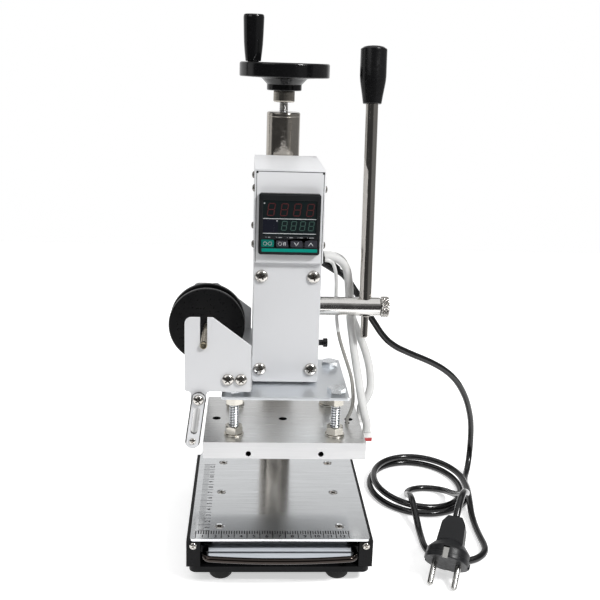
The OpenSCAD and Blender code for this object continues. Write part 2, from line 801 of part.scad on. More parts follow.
// Head block: guide of the ram, bores of the pinion shaft, and the sleeve that runs on the column
module head_body() {
    color("#eceded")
        difference() {
            union() {
                translate([head_left, body_front, head_z]) cube([head_w, body_back - body_front, head_h]);
                translate([column_x, column_y, sleeve_z])
                    cylinder(d = column_d + 2 * sleeve_wall, h = sleeve_h);
                translate([head_left + web_in, body_back - 1, sleeve_z]) cube([head_w - 2 * web_in, web_l, sleeve_h]);
            }
            translate([head_x - channel_half, body_front - 1, head_z - 1])
                cube([2 * channel_half, rack_y + tooth_out + 1 - body_front + slide_gap, ram_top + 5 - head_z]);
            translate([head_x - channel_half, shaft_y, shaft_z]) to_right()
                cylinder(r = pitch_r + tooth_module + 0.7, h = 2 * channel_half);
            translate([head_left + 4, shaft_y, shaft_z]) to_right()
                cylinder(d = shaft_d + 2 * running_fit, h = head_w);
            translate([column_x, column_y, sleeve_z - 1])
                cylinder(d = column_d + 2 * running_fit, h = sleeve_h + 2);
            translate([column_x - key_w / 2, body_back - 4, nut_z - nut_h / 2])
                cube([key_w, 12, nut_h]);
            at_cover_screws() translate([0, 0, -12]) cylinder(d = pan_shank_d + 2 * screw_fit, h = 14);
            at_lock_screw() translate([0, 0, -head_w]) cylinder(d = 5 + 2 * screw_fit, h = head_w + 1);
            translate([head_right, gland_y, gland_z]) to_left()
                translate([0, 0, -1]) cylinder(d = gland_shank_d + 2 * screw_fit, h = 13);
            for (lead = [lead_a_route, lead_b_route, probe_route])
                translate([head_right, lead[0][1], lead[0][2]]) to_left()
                    translate([0, 0, -1]) cylinder(d = lead_bush_d(lead) - 2, h = 11);
            for (x = bracket_bolts_y)
                translate([head_left - 1, x, bar_z + bar_h / 2]) to_right() cylinder(d = 5, h = 9);
        }
}

bracket_bolts_y = [-40, 10];

module at_cover_screws() {
    for (x = [-1, 1], z = [11, head_h - 12])
        translate([head_x + x * (head_w / 2 - 6.2), body_front - cover_t, head_z + z]) to_front() children();
}

module front_cover() {
    color("#f0f1f1")
        difference() {
            translate([head_x, body_front, head_z + head_h / 2]) to_front()
                linear_extrude(cover_t) rounded_rect(head_w, head_h, 2);
            at_cover_screws() translate([0, 0, -cover_t - 1]) cylinder(d = pan_shank_d + 2 * screw_fit, h = cover_t + 2);
        }
}

module cover_screws() {
    color("#c9cacb") at_cover_screws() pan_screw(pan_d + 1, pan_h, pan_shank_d, 11);
}

module at_lock_screw() {
    translate([head_right, ram_front + ram_depth / 2, head_z + lock_h]) to_right() children();
}

module ram_lock_screw() {
    color("#1b1b1d")
        at_lock_screw()
            difference() {
                union() {
                    translate([0, 0, -head_w / 2 + ram_w / 2 + 0.5]) cylinder(d = 5, h = head_w / 2 - ram_w / 2 + 5);
                    translate([0, 0, 5]) cylinder(d = lock_head_d, h = lock_head_h);
                }
                translate([0, 0, 6.5]) hexagon(4, 3);
            }
}

module lift_nut() {
    color("#b58b45")
        difference() {
            union() {
                translate([column_x, column_y, nut_z - nut_h / 2]) cylinder(r = column_bore / 2 - running_fit, h = nut_h);
                translate([column_x - key_w / 2 + running_fit, body_back - 4 + running_fit, nut_z - nut_h / 2 + running_fit])
                    cube([key_w - 2 * running_fit, column_y - body_back - 2, nut_h - 2 * running_fit]);
            }
            translate([column_x, column_y, nut_z - nut_h]) cylinder(d = screw_d + 2 * running_fit, h = 2 * nut_h);
        }
}

// Control box of bent sheet: floor, roof, sides and back in one, with a separate front
module at_box_screws() {
    for (side = [0, 1], y = box_screw_y, z = box_screw_z)
        translate([head_x, 0, 0]) mirror([side, 0, 0]) translate([box_w / 2, y, z]) to_right() children();
}

module control_box() {
    color("#f1f2f2")
        difference() {
            translate([head_x - box_w / 2, box_front_y + sheet_t, head_top])
                cube([box_w, box_back - box_front_y - sheet_t, box_h]);
            translate([head_x - box_w / 2 + sheet_t, box_front_y, head_top + sheet_t])
                cube([box_w - 2 * sheet_t, box_back - box_front_y - sheet_t, box_h - 2 * sheet_t]);
            at_box_screws() translate([0, 0, -3]) cylinder(d = box_screw_d + 2 * screw_fit, h = 4);
        }
}

module box_front() {
    flange_x = box_w / 2 - sheet_t - screw_fit;
    color("#f4f5f5")
        difference() {
            union() {
                translate([head_x - box_w / 2, box_front_y, head_top]) cube([box_w, sheet_t, box_h]);
                for (side = [0, 1])
                    translate([head_x, 0, 0]) mirror([side, 0, 0])
                        translate([flange_x - sheet_t, box_front_y, head_top + sheet_t + 1])
                            cube([sheet_t, 14, box_h - 2 * sheet_t - 2]);
            }
            translate([head_x - case_w / 2 - screw_fit, box_front_y - 1, bezel_mid - case_w / 2 - screw_fit])
                cube([case_w + 2 * screw_fit, sheet_t + 2, case_w + 2 * screw_fit]);
            at_box_screws() translate([0, 0, -5]) cylinder(d = box_screw_d + 2 * screw_fit, h = 6);
        }
}

module box_screws() {
    color("#2b2b2d") at_box_screws() pan_screw(6, 2, box_screw_d, 2 * sheet_t + 1);
}

// Temperature controller: bezel with a sunk display, a case behind the panel, four keys
module controller_bezel() {
    bezel_y = box_front_y;
    color("#18191b")
        difference() {
            union() {
                translate([head_x, bezel_y, bezel_mid]) to_front()
                    linear_extrude(bezel_t - 1) rounded_rect(bezel_w, bezel_w, 2);
                translate([head_x, bezel_y, bezel_mid]) to_front()
                    linear_extrude(bezel_t) rounded_rect(bezel_w - 2, bezel_w - 2, 1.5);
            }
            translate([head_x - bezel_w / 2 + 3, bezel_y - bezel_t - 1, bezel_mid - bezel_w / 2 + 15])
                cube([bezel_w - 6, window_depth + 1, bezel_w - 20]);
            for (i = [0:3])
                translate([key_x(i) - key_w_x / 2 - slide_gap, bezel_y - bezel_t - 1, key_row - key_h / 2 - slide_gap])
                    cube([key_w_x + 2 * slide_gap, key_depth + 2, key_h + 2 * slide_gap]);
        }
}

function key_x(i) = head_x + (i - 1.5) * key_pitch;

module controller_case() {
    color("#26272a")
        difference() {
            translate([head_x - case_w / 2, box_front_y, bezel_mid - case_w / 2]) cube([case_w, case_l, case_w]);
            for (i = [0:5])
                translate([head_x - case_w / 2 - 1, box_front_y + 20 + 9 * i, bezel_mid + case_w / 2 - 1.5])
                    cube([case_w + 2, 4, 2]);
        }
}

module key(i) {
    translate([key_x(i), box_front_y - bezel_t + key_depth, key_row]) to_front() {
        linear_extrude(key_depth - 0.2) rounded_rect(key_w_x, key_h, 1);
        linear_extrude(key_depth + 0.3) rounded_rect(key_w_x - 1, key_h - 1, 0.8);
    }
}

module key_set() { color("#3f8f4d") key(0); }
module key_shift() { color("#3a3b3e") key(1); }
module key_down() { color("#3a3b3e") key(2); }
module key_up() { color("#3a3b3e") key(3); }

// Strain relief of the mains cord and the bushes of the heater leads, on the head's right wall
module cord_gland() {
    color("#17181a")
        translate([head_right, gland_y, gland_z]) to_right() {
            translate([0, 0, -10]) cylinder(d = gland_shank_d, h = 11);
            cylinder(d = 14, h = gland_collar);
            translate([0, 0, gland_collar]) rotate([0, gland_tilt, 0]) {
                sphere(d = 11);
                cylinder(d1 = 11, d2 = cord_d + 2, h = gland_l);
            }
        }
}

function lead_bush_d(lead) = (lead == probe_route ? probe_d : sleeve_d) + 4;

module lead_bushes() {
    color("#1b1c1e")
        for (lead = [lead_a_route, lead_b_route, probe_route])
            translate([head_right, lead[0][1], lead[0][2]]) to_right()
                cylinder(d = lead_bush_d(lead), h = lead[0][0] - head_right);
}

// Foil holder on the head's left wall: a bar, two slotted sheets and hinged guide arms
module foil_bar() {
    color("#d3d5d6")
        difference() {
            translate([head_left - bar_w, foil_front, bar_z]) cube([bar_w, foil_span, bar_h]);
            at_bracket_screws() translate([0, 0, -12]) cylinder(d = pan_shank_d + 2 * screw_fit, h = 13);
            translate([spool_x, spool_mid - spool_w / 2 - 1.5, spool_z]) to_back()
                cylinder(d = flange_disc_d + 3, h = spool_w + 3);
            for (y = bracket_bolts_y)
                translate([head_left - bar_w - 1, y, bar_z + bar_h / 2]) to_right() {
                    cylinder(d = 5, h = bar_w + 2);
                    cylinder(d = 9, h = 7);
                }
        }
}

module bracket_sheet() {
    left = min(spool_x - 14.6, arm_pivot[0] - arm_w / 2 - 5);
    right = head_left - 1;
    low = head_z + 3.5;
    high = spool_z + 22;
    tab = arm_w / 2 + 0.3;
    difference() {
        polygon(rounded([
            [left, low, 2], [arm_pivot[0] - tab, low, 3], [arm_pivot[0] - tab, arm_pivot[1] - tab, tab - 0.5],
            [arm_pivot[0] + tab, arm_pivot[1] - tab, tab - 0.5], [arm_pivot[0] + tab, low, 3], [right, low, 0],
            [right, spool_z - 0.5, 0], [spool_x + 7, high, 2], [left, high, 5]
        ]));
        translate([spool_x - spool_rod_d / 2 - running_fit, spool_z])
            square([spool_rod_d + 2 * running_fit, high]);
        translate([spool_x, spool_z]) circle(r = spool_rod_d / 2 + running_fit);
        for (x = bracket_screw_x) translate([x, bracket_screw_z]) circle(r = pan_shank_d / 2 + screw_fit);
        translate(arm_pivot) circle(r = pan_shank_d / 2 + screw_fit);
    }
}

module foil_brackets() {
    color("#eff0f0")
        for (y = [foil_front, foil_back + bracket_t])
            translate([0, y, 0]) to_front() linear_extrude(bracket_t) bracket_sheet();
}

module at_bracket_screws() {
    for (x = bracket_screw_x) {
        translate([x, foil_front, bracket_screw_z]) to_front() children();
        translate([x, foil_back, bracket_screw_z]) to_back() children();
    }
}

module bracket_screws() {
    color("#c9cacb")
        at_bracket_screws() translate([0, 0, bracket_t]) pan_screw(pan_d, pan_h, pan_shank_d, bracket_t + 10);
}

module at_arm_ends(point) {
    translate([point[0], foil_front - bracket_t - slide_gap - arm_t, point[1]]) to_front() children();
    translate([point[0], foil_back + bracket_t + slide_gap + arm_t, point[1]]) to_back() children();
}

module pivot_screws() {
    color("#c9cacb")
        at_arm_ends(arm_pivot)
            translate([0, 0, slide_gap])
                pan_screw(8.8, 2.8, pan_shank_d, arm_t + bracket_t + 2 * slide_gap + 1);
}

module arm_outline() {
    difference() {
        union() {
            translate([-arm_w / 2, -arm_l]) square([arm_w, arm_l]);
            circle(d = arm_w);
            translate([0, -arm_l]) circle(d = arm_w);
        }
        circle(r = pan_shank_d / 2 + running_fit);
        translate([0, -arm_l]) circle(r = 1.6 + screw_fit);
        translate([-2.5, -arm_l + 9]) square([5, arm_l - 18]);
        translate([0, -9]) circle(d = 5);
        translate([0, -arm_l + 9]) circle(d = 5);
    }
}

module guide_arms() {
    color("#f2f3f3")
        for (y = [foil_front - bracket_t - slide_gap, foil_back + bracket_t + slide_gap + arm_t])
            translate([arm_pivot[0], y, arm_pivot[1]]) to_front()
                linear_extrude(arm_t) rotate(-arm_tilt) arm_outline();
}

module guide_rod() {
    span = foil_span + 2 * bracket_t + 2 * slide_gap;
    color("#c8cacc")
        translate([arm_end[0], foil_front - bracket_t - slide_gap, arm_end[1]]) to_back() {
            cylinder(d = guide_rod_d, h = span);
            translate([0, 0, -arm_t]) cylinder(d = 3.2, h = span + 2 * arm_t);
            translate([0, 0, -arm_t]) mirror([0, 0, 1]) cylinder(d1 = 5.4, d2 = 4, h = 1.4);
            translate([0, 0, span + arm_t]) cylinder(d1 = 5.4, d2 = 4, h = 1.4);
        }
}

module spool_rod() {
    over = 2.5;
    color("#3b3833")
        translate([spool_x, foil_front - bracket_t - over, spool_z]) to_back()
            cylinder(d = spool_rod_d, h = foil_span + 2 * bracket_t + 2 * over);
}

module spool_flanges() {
    disc_t = 6;
    hub = flange_disc_d * 0.4;
    color("#141416")
        for (side = [0, 1])
            translate([spool_x, spool_mid, spool_z]) rotate([side * 180, 0, 0]) to_back()
                rotate_extrude()
                    polygon([
                        [spool_rod_d / 2 + running_fit, 0.4], [hub / 2, 0.4], [hub / 2, spool_w / 2 - disc_t],
                        [flange_disc_d / 2 - 1, spool_w / 2 - disc_t], [flange_disc_d / 2, spool_w / 2 - disc_t + 1],
                        [flange_disc_d / 2, spool_w / 2 - 1], [flange_disc_d / 2 - 1, spool_w / 2],
                        [spool_rod_d / 2 + running_fit, spool_w / 2]
                    ]);
}

// Handwheel, its collar and the lead screw
module handwheel() {
    rim_r = wheel_d / 2;
    edge_r = 1.2;
    color("#191a1c")
        difference() {
            union() {
                translate([column_x, column_y, 0])
                    rotate_extrude()
                        polygon(rounded([
                            [screw_d / 2 + running_fit, hub_z, 0], [hub_d / 2, hub_z, 1], [hub_d / 2, hub_z + hub_h, 1],
                            [hub_d / 2 + 5, web_z - 0.5, 2], [rim_r - rim_w, rim_z, 2], [rim_r, rim_z, edge_r],
                            [rim_r, rim_top, 1.5 * edge_r],
                            [rim_r - rim_w + 1, rim_top, 2], [rim_r - rim_w, web_z + web_t, 2],
                            [hub_d / 2 + 2, web_z + web_t, 2], [hub_d / 2 - 2, web_z + web_t + 4, 1],
                            [screw_d / 2 + running_fit, web_z + web_t + 4, 0]
                        ]));
                translate([crank_x, crank_y, web_z + 1]) cylinder(d = boss_d, h = grip_z - web_z - 1);
            }
            translate([crank_x, crank_y, web_z - 4]) cylinder(d = crank_pin_d + 2 * screw_fit, h = 40);
        }
}

module wheel_collar() {
    color("#cfd0d2")
        translate([column_x, column_y, collar_z])
            rotate_extrude()
                polygon([
                    [screw_d / 2 + running_fit, 0], [collar_d / 2 - 1, 0], [collar_d / 2, 1],
                    [collar_d / 2, collar_h - 1], [collar_d / 2 - 1, collar_h], [screw_d / 2 + running_fit, collar_h]
                ]);
}

module lead_screw() {
    low = nut_z - head_down - nut_h / 2 - 6;
    thrust_top = column_top - cap_spigot - slide_gap;
    color("#c2c4c6")
        translate([column_x, column_y, 0]) {
            translate([0, 0, low]) cylinder(d = screw_d, h = web_z + web_t + 3 - low);
            translate([0, 0, thrust_top - 6]) cylinder(d = column_bore - 4, h = 6);
        }
}

module crank_pin() {
    top = grip_z + grip_l;
    color("#c9cacb")
        translate([crank_x, crank_y, 0]) {
            translate([0, 0, web_z]) cylinder(d = crank_pin_d, h = top - crank_head_h - web_z);
            translate([0, 0, top - crank_head_h]) cylinder(d = crank_head_d, h = crank_head_h);
        }
}

module crank_grip() {
    r = grip_d / 2;
    bore = crank_pin_d / 2 + running_fit;
    head = crank_head_d / 2 + slide_gap;
    color("#161618")
        translate([crank_x, crank_y, grip_z])
            rotate_extrude()
                polygon([
                    [bore, 0], [r * 0.72, 0], [r * 0.75, 0.6], [r * 0.84, grip_l * 0.18], [r * 0.91, grip_l * 0.36],
                    [r * 0.95, grip_l * 0.55], [r, grip_l * 0.93], [r * 0.97, grip_l - 0.9], [r * 0.88, grip_l],
                    [head, grip_l],
                    [head, grip_l - crank_head_h - slide_gap], [bore, grip_l - crank_head_h - slide_gap]
                ]);
}

// Pinion shaft, pinion and lever
module along_lever() {
    translate([lever_x, shaft_y, shaft_z]) rotate([-lever_lean, 0, 0]) children();
}

module pinion_shaft() {
    shaft_start = head_left + 4.5;
    color("#cdced0")
        difference() {
            translate([shaft_start, shaft_y, shaft_z]) to_right() {
                cylinder(d = shaft_d, h = shaft_end - shaft_start - 1);
                translate([0, 0, shaft_end - shaft_start - 1]) cylinder(d1 = shaft_d, d2 = shaft_d - 2, h = 1);
            }
            along_lever() translate([0, 0, -shaft_d]) cylinder(d = lever_d + 2 * screw_fit, h = 2 * shaft_d);
            translate([lever_x, shaft_y, shaft_z]) to_right() cylinder(d = 6 + 2 * screw_fit, h = lever_inset + 1);
        }
}

// Involute teeth: the half angle of a tooth at radius r
base_circle = pitch_r * cos(20);
function involute(r) = let (t = sqrt(max(0, pow(r / base_circle, 2) - 1))) t * 180 / PI - atan(t);
tooth_half = 90 / pinion_teeth - tooth_play / pitch_r * 45 / PI;
function half_angle(r) = tooth_half + involute(pitch_r) - involute(max(r, base_circle));
pinion_tip = pitch_r + tooth_module;
pinion_root = pitch_r - tooth_in;
tooth_radii = [pinion_root, base_circle, for (i = [1:3]) base_circle + (pinion_tip - base_circle) * i / 3];
function polar(r, a) = r * [cos(a), sin(a)];
gear_outline = [
    for (k = [0:pinion_teeth - 1])
        let (mid = 360 * (k + 0.5) / pinion_teeth)
        each concat(
            [for (r = tooth_radii) polar(r, mid - half_angle(r))],
            [for (i = [len(tooth_radii) - 1:-1:0]) polar(tooth_radii[i], mid + half_angle(tooth_radii[i]))]
        )
];

module pinion() {
    width = ram_w - 2;
    color("#8c8e91")
        translate([head_x - width / 2, shaft_y, shaft_z]) to_right()
            linear_extrude(width)
                difference() {
                    rotate(90) polygon(gear_outline);
                    circle(r = shaft_d / 2 + running_fit);
                }
}

module lever_rod() {
    knob_z = lever_l - knob_l;
    color("#d2d3d5")
        along_lever()
            rotate_extrude()
                polygon([
                    [0, -stub_l], [stub_d / 2 - 1, -stub_l], [stub_d / 2, -stub_l + 1], [stub_d / 2, -shaft_d / 2 - 0.5],
                    [lever_d / 2, -shaft_d / 2], [lever_d / 2, knob_z], [4, knob_z], [4, knob_z + knob_l * 0.55],
                    [0, knob_z + knob_l * 0.55]
                ]);
}

module lever_knob() {
    r = knob_d / 2;
    dome_h = 2.2;
    edge_r = 1;
    bore = 4 + screw_fit;
    color("#151517")
        along_lever() translate([0, 0, lever_l - knob_l])
            rotate_extrude()
                polygon(concat(
                    [[bore, 0], [r * 0.68, 0], [r * 0.71, 0.8], [r * 0.79, knob_l * 0.14], [r * 0.9, knob_l * 0.29],
                     [r * 0.97, knob_l * 0.39], [r, knob_l * 0.48], [r, knob_l - dome_h - edge_r]],
                    [for (a = [30:30:90]) [r - edge_r * (1 - cos(a)), knob_l - dome_h - edge_r * (1 - sin(a))]],
                    [for (a = [60:-20:20]) [(r - edge_r) * sin(a), knob_l - dome_h * (1 - cos(a))]],
                    [[0, knob_l], [0, knob_l * 0.56], [bore, knob_l * 0.56]]
                ));
}

module lever_clamp_screw() {
    color("#c6c8ca")
        translate([shaft_end, shaft_y, shaft_z]) to_right() {
            rotate_extrude()
                polygon([
                    [0, slide_gap], [clamp_d / 2 - 1, slide_gap], [clamp_d / 2, slide_gap + 1], [clamp_d / 2, clamp_h - 1],
                    [clamp_d / 2 - 1, clamp_h], [0, clamp_h]
                ]);
            translate([0, 0, lever_d / 2 - lever_inset + 1]) cylinder(d = 6, h = lever_inset - lever_d / 2);
        }
}

// Ram with its rack, the zinc plate, stand-offs and the heater block
rack_teeth = [for (k = [-2:floor((stroke + 12) / tooth_pitch)]) shaft_z + k * tooth_pitch];

module ram() {
    half = tooth_pitch / 4 - tooth_play / 4;
    color("#a9acae")
        translate([head_x - ram_w / 2, 0, 0]) {
            translate([0, ram_front, carrier_top]) cube([ram_w, ram_depth - tooth_in, ram_top - carrier_top]);
            for (z = rack_teeth)
                translate([0, 0, z]) rotate([90, 0, 90])
                    linear_extrude(ram_w)
                        polygon([
                            [rack_y - tooth_in - 0.5, -half - tooth_in * tan(20)],
                            [rack_y + tooth_out, -half + tooth_out * tan(20)],
                            [rack_y + tooth_out, half - tooth_out * tan(20)],
                            [rack_y - tooth_in - 0.5, half + tooth_in * tan(20)]
                        ]);
        }
}

module at_standoffs() {
    for (x = [-1, 1], y = [-1, 1])
        translate([head_x + x * bolt_x, block_y + y * bolt_y, 0]) children();
}

module ram_plate() {
    color("#b4babd")
        difference() {
            translate([head_x, carrier_y, carrier_z]) linear_extrude(carrier_t) rounded_rect(carrier_w, carrier_l, 2);
            at_standoffs() translate([0, 0, carrier_z - 1]) cylinder(d = bolt_d + 2 * screw_fit, h = carrier_t + 2);
        }
}

module standoff_bolts() {
    color("#b9bdbf")
        at_standoffs() {
            translate([0, 0, carrier_top]) hexagon(bolt_af, bolt_head_h);
            translate([0, 0, block_top - bolt_in + 0.5]) cylinder(d = bolt_d, h = carrier_top - block_top + bolt_in);
        }
}

module standoff_nuts() {
    color("#c0bfae")
        at_standoffs()
            difference() {
                union() {
                    translate([0, 0, carrier_z - nut_t]) hexagon(bolt_af, nut_t);
                    translate([0, 0, block_top]) cylinder(d = 16, h = washer_t);
                    translate([0, 0, block_top + washer_t]) hexagon(bolt_af, nut_t);
                }
                translate([0, 0, block_top - 1]) cylinder(d = bolt_d + 2 * running_fit, h = standoff_h + 2);
            }
}

module heater_block() {
    color("#c3c5c6")
        difference() {
            translate([head_x - block_w / 2, block_y - block_l / 2, block_z]) cube([block_w, block_l, block_t]);
            for (x = [-1, 0, 1])
                translate([head_x + x * (block_w / 2 - 9), block_y, block_z - 1]) cylinder(d = 7, h = block_t + 2);
            at_standoffs() translate([0, 0, block_top - bolt_in]) cylinder(d = bolt_d + 2 * screw_fit, h = bolt_in + 1);
            for (y = [-1, 1])
                translate([head_x + block_w / 2 + 1, block_y + y * cartridge_y, cartridge_z]) to_left()
                    cylinder(d = cartridge_d + 2 * running_fit, h = cartridge_l + 2);
            for (x = [-1, 1])
                translate([head_x + x * 29, block_y - block_l / 2 - 1, block_z + 4.3]) to_back() cylinder(d = 4.4, h = 16);
            translate([probe_at[0], probe_at[1], block_top - 7]) cylinder(d = 4.4, h = 8);
        }
}

module heater_cartridges() {
    out = head_x + block_w / 2;
    color("#b8322c")
        for (y = [-1, 1])
            translate([out, block_y + y * cartridge_y, cartridge_z]) {
                to_left() cylinder(d = cartridge_d, h = cartridge_l);
                to_right() cylinder(d = boot_d - 0.4, h = boot_out + boot_d / 2);
                translate([boot_out - 0.2, 0, 0]) cylinder(d = boot_d, h = boot_top - cartridge_z);
            }
}

module heater_leads() {
    color("#f3f3f1") {
        tube(lead_a_route, sleeve_d, 10);
        tube(lead_b_route, sleeve_d, 10);
    }
}

module probe_lead() { color("#a7a8a6") tube(probe_route, probe_d, 8); }

// Mains cord and plug
module cord_drop() { color("#151516") tube(drop_route, cord_d, 10); }
module cord_coil() { color("#151516") tube(coil_route, cord_d, 6); }
module cord_tail() { color("#151516") tube(tail_route, cord_d, 10); }

// Two-pin plug standing on its pins: squarish grip, round body with clip grooves, two round pins
module plug_grip() {
    intersection() {
        rotate([90, 0, 0])
            linear_extrude(2 * plug_body_r, center = true)
                polygon(rounded([
                    [-5.5, 0, 2], [5.5, 0, 2], [9.6, 7, 5], [10.6, plug_grip_l + 3, 0], [-10.6, plug_grip_l + 3, 0],
                    [-9.6, 7, 5]
                ]));
        rotate([90, 0, 90])
            linear_extrude(2 * plug_body_r, center = true)
                polygon(rounded([
                    [-5, 0, 2], [5, 0, 2], [7, 6, 4], [8.6, plug_grip_l + 3, 0], [-8.6, plug_grip_l + 3, 0],
                    [-7, 6, 4]
                ]));
    }
}

module plug() {
    face = plug_grip_l + plug_body_l;
    r = plug_body_r;
    color("#18181a")
        translate(plug_end) rotate([0, 0, plug_heading - 90]) rotate([-plug_tilt, 0, 0]) to_back() {
            plug_grip();
            difference() {
                rotate_extrude()
                    polygon(rounded([
                        [0, plug_grip_l - 1, 0], [r * 0.56, plug_grip_l - 1, 3], [r - 0.8, plug_grip_l + 7.5, 4],
                        [r - 0.8, face - 4.5, 0], [r, face - 4.1, 0.2], [r, face, 0.8], [0, face, 0]
                    ]));
                for (side = [-1, 1]) {
                    translate([-2.4, side * (r - 1.2) - 1.8, face - 9]) cube([4.8, 3.6, 10]);
                    translate([side * (r - 0.2) - 1.5, -3, face - 11]) cube([3, 6, 12]);
                }
            }
            for (side = [-1, 1])
                translate([side * plug_pin_pitch / 2, 0, face - 1])
                    rotate_extrude()
                        polygon(rounded([
                            [0, 0, 0], [plug_pin_d / 2, 0, 0], [plug_pin_d / 2, plug_pin_l + 1, 1.5],
                            [0, plug_pin_l + 1, 0]
                        ]));
        }
}

base_plate();
feet();
foot_screws();
side_rails();
rail_screws();
column();
column_flange();
flange_screws();
column_cap();
table_slider();
table_riser();
work_plate();
plate_screws();
table_handle();
head_body();
front_cover();
cover_screws();
ram_lock_screw();
lift_nut();
control_box();
box_front();
box_screws();
controller_bezel();
controller_case();
key_set();
key_shift();
key_down();
key_up();
cord_gland();
lead_bushes();
foil_bar();
foil_brackets();
bracket_screws();
pivot_screws();
guide_arms();
guide_rod();
spool_rod();
spool_flanges();
handwheel();
wheel_collar();
lead_screw();
crank_pin();
crank_grip();
pinion_shaft();
pinion();
lever_rod();
lever_knob();
lever_clamp_screw();
ram();
ram_plate();
standoff_bolts();
standoff_nuts();
heater_block();
heater_cartridges();
heater_leads();
probe_lead();
cord_drop();
cord_coil();
cord_tail();
plug();
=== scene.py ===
import json
import math

import bmesh
import bpy
from mathutils import Matrix, Vector


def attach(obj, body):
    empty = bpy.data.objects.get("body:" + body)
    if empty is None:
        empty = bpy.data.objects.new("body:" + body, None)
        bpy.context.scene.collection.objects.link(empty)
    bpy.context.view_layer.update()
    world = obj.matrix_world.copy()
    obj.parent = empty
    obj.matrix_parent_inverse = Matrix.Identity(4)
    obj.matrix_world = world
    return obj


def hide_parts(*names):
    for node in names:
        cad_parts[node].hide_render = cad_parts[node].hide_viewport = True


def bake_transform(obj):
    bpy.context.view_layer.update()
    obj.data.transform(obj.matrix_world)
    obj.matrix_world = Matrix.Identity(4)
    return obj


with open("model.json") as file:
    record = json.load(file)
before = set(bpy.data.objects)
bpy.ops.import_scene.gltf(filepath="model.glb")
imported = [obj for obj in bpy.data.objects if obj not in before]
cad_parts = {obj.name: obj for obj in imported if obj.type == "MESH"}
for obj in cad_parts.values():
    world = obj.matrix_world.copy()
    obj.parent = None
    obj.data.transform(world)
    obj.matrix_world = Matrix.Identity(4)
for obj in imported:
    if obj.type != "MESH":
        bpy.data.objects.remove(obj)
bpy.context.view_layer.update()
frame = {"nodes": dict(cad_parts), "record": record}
nodes = frame["nodes"]
body_of = {n: b for b, names in frame["record"]["behaviour"]["bodies"].items() for n in names}
scene = bpy.context.scene

MM = 0.001
FRONT, REAR, UP = Vector((0, -1, 0)), Vector((0, 1, 0)), Vector((0, 0, 1))

# Places on the machine, in mm
HEAD_X = 3
COLUMN_AXIS = (1, 75, 0)
SPOOL_X, SPOOL_Z = -62, 184
GUIDE_PIVOT, GUIDE_FOOT = Vector((-65.6, 0, 140)), Vector((-70.2, 0, 105))
CLAMP_SEAT = (85, -8, 197)
BLOCK_FRONT = -85
PLATE_TOP = 39.1
WINDOW_FACE, SHADE_FACE, FIGURE_FACE = -57.2, -57.21, -57.22
BEZEL_FACE, KEY_FACE = -58.0, -58.3
PRINT_THICK = 0.03


def linked(name, data):
    """A new object in the scene."""
    obj = bpy.data.objects.new(name, data)
    scene.collection.objects.link(obj)
    return obj


# Camera at the photograph's place, for a square picture
def photo_camera(place, yaw, pitch, roll, lens):
    y, p, r = (math.radians(a) for a in (yaw, pitch, roll))
    ahead = Vector((math.sin(y) * math.cos(p), math.cos(y) * math.cos(p), -math.sin(p)))
    level = Vector((math.cos(y), -math.sin(y), 0))
    above = level.cross(ahead)
    right = math.cos(r) * level + math.sin(r) * above
    up = -math.sin(r) * level + math.cos(r) * above
    data = bpy.data.cameras.new("photo_camera")
    data.lens = lens
    data.sensor_width = 36
    data.clip_end = 20
    cam = linked("photo_camera", data)
    cam.matrix_world = Matrix.Translation(place) @ Matrix((right, up, -ahead)).transposed().to_4x4()
    scene.camera = cam


photo_camera(place=(-0.0298, -0.7476, 0.3974), yaw=3.544, pitch=14.789, roll=1.866, lens=54.02)

# Materials
FINISHES = {}


class Shader:
    """The nodes of a material or of the room's light."""

    def __init__(self, tree):
        self.tree = tree

    def node(self, kind, **inputs):
        n = self.tree.nodes.new(kind)
        for key, value in inputs.items():
            self.put(n.inputs[key], value)
        return n

    def put(self, socket, value):
        if isinstance(value, bpy.types.NodeSocket):
            self.tree.links.new(value, socket)
        else:
            socket.default_value = value

    def ranged(self, value, low, high, start=0.3, stop=0.7, change="LINEAR"):
        """Turns a value that runs from start to stop into one that runs from low to high."""
        ends = {"From Min": start, "From Max": stop, "To Min": low, "To Max": high}
        n = self.node("ShaderNodeMapRange", Value=value, **ends)
        n.interpolation_type = change
        return n.outputs["Result"]


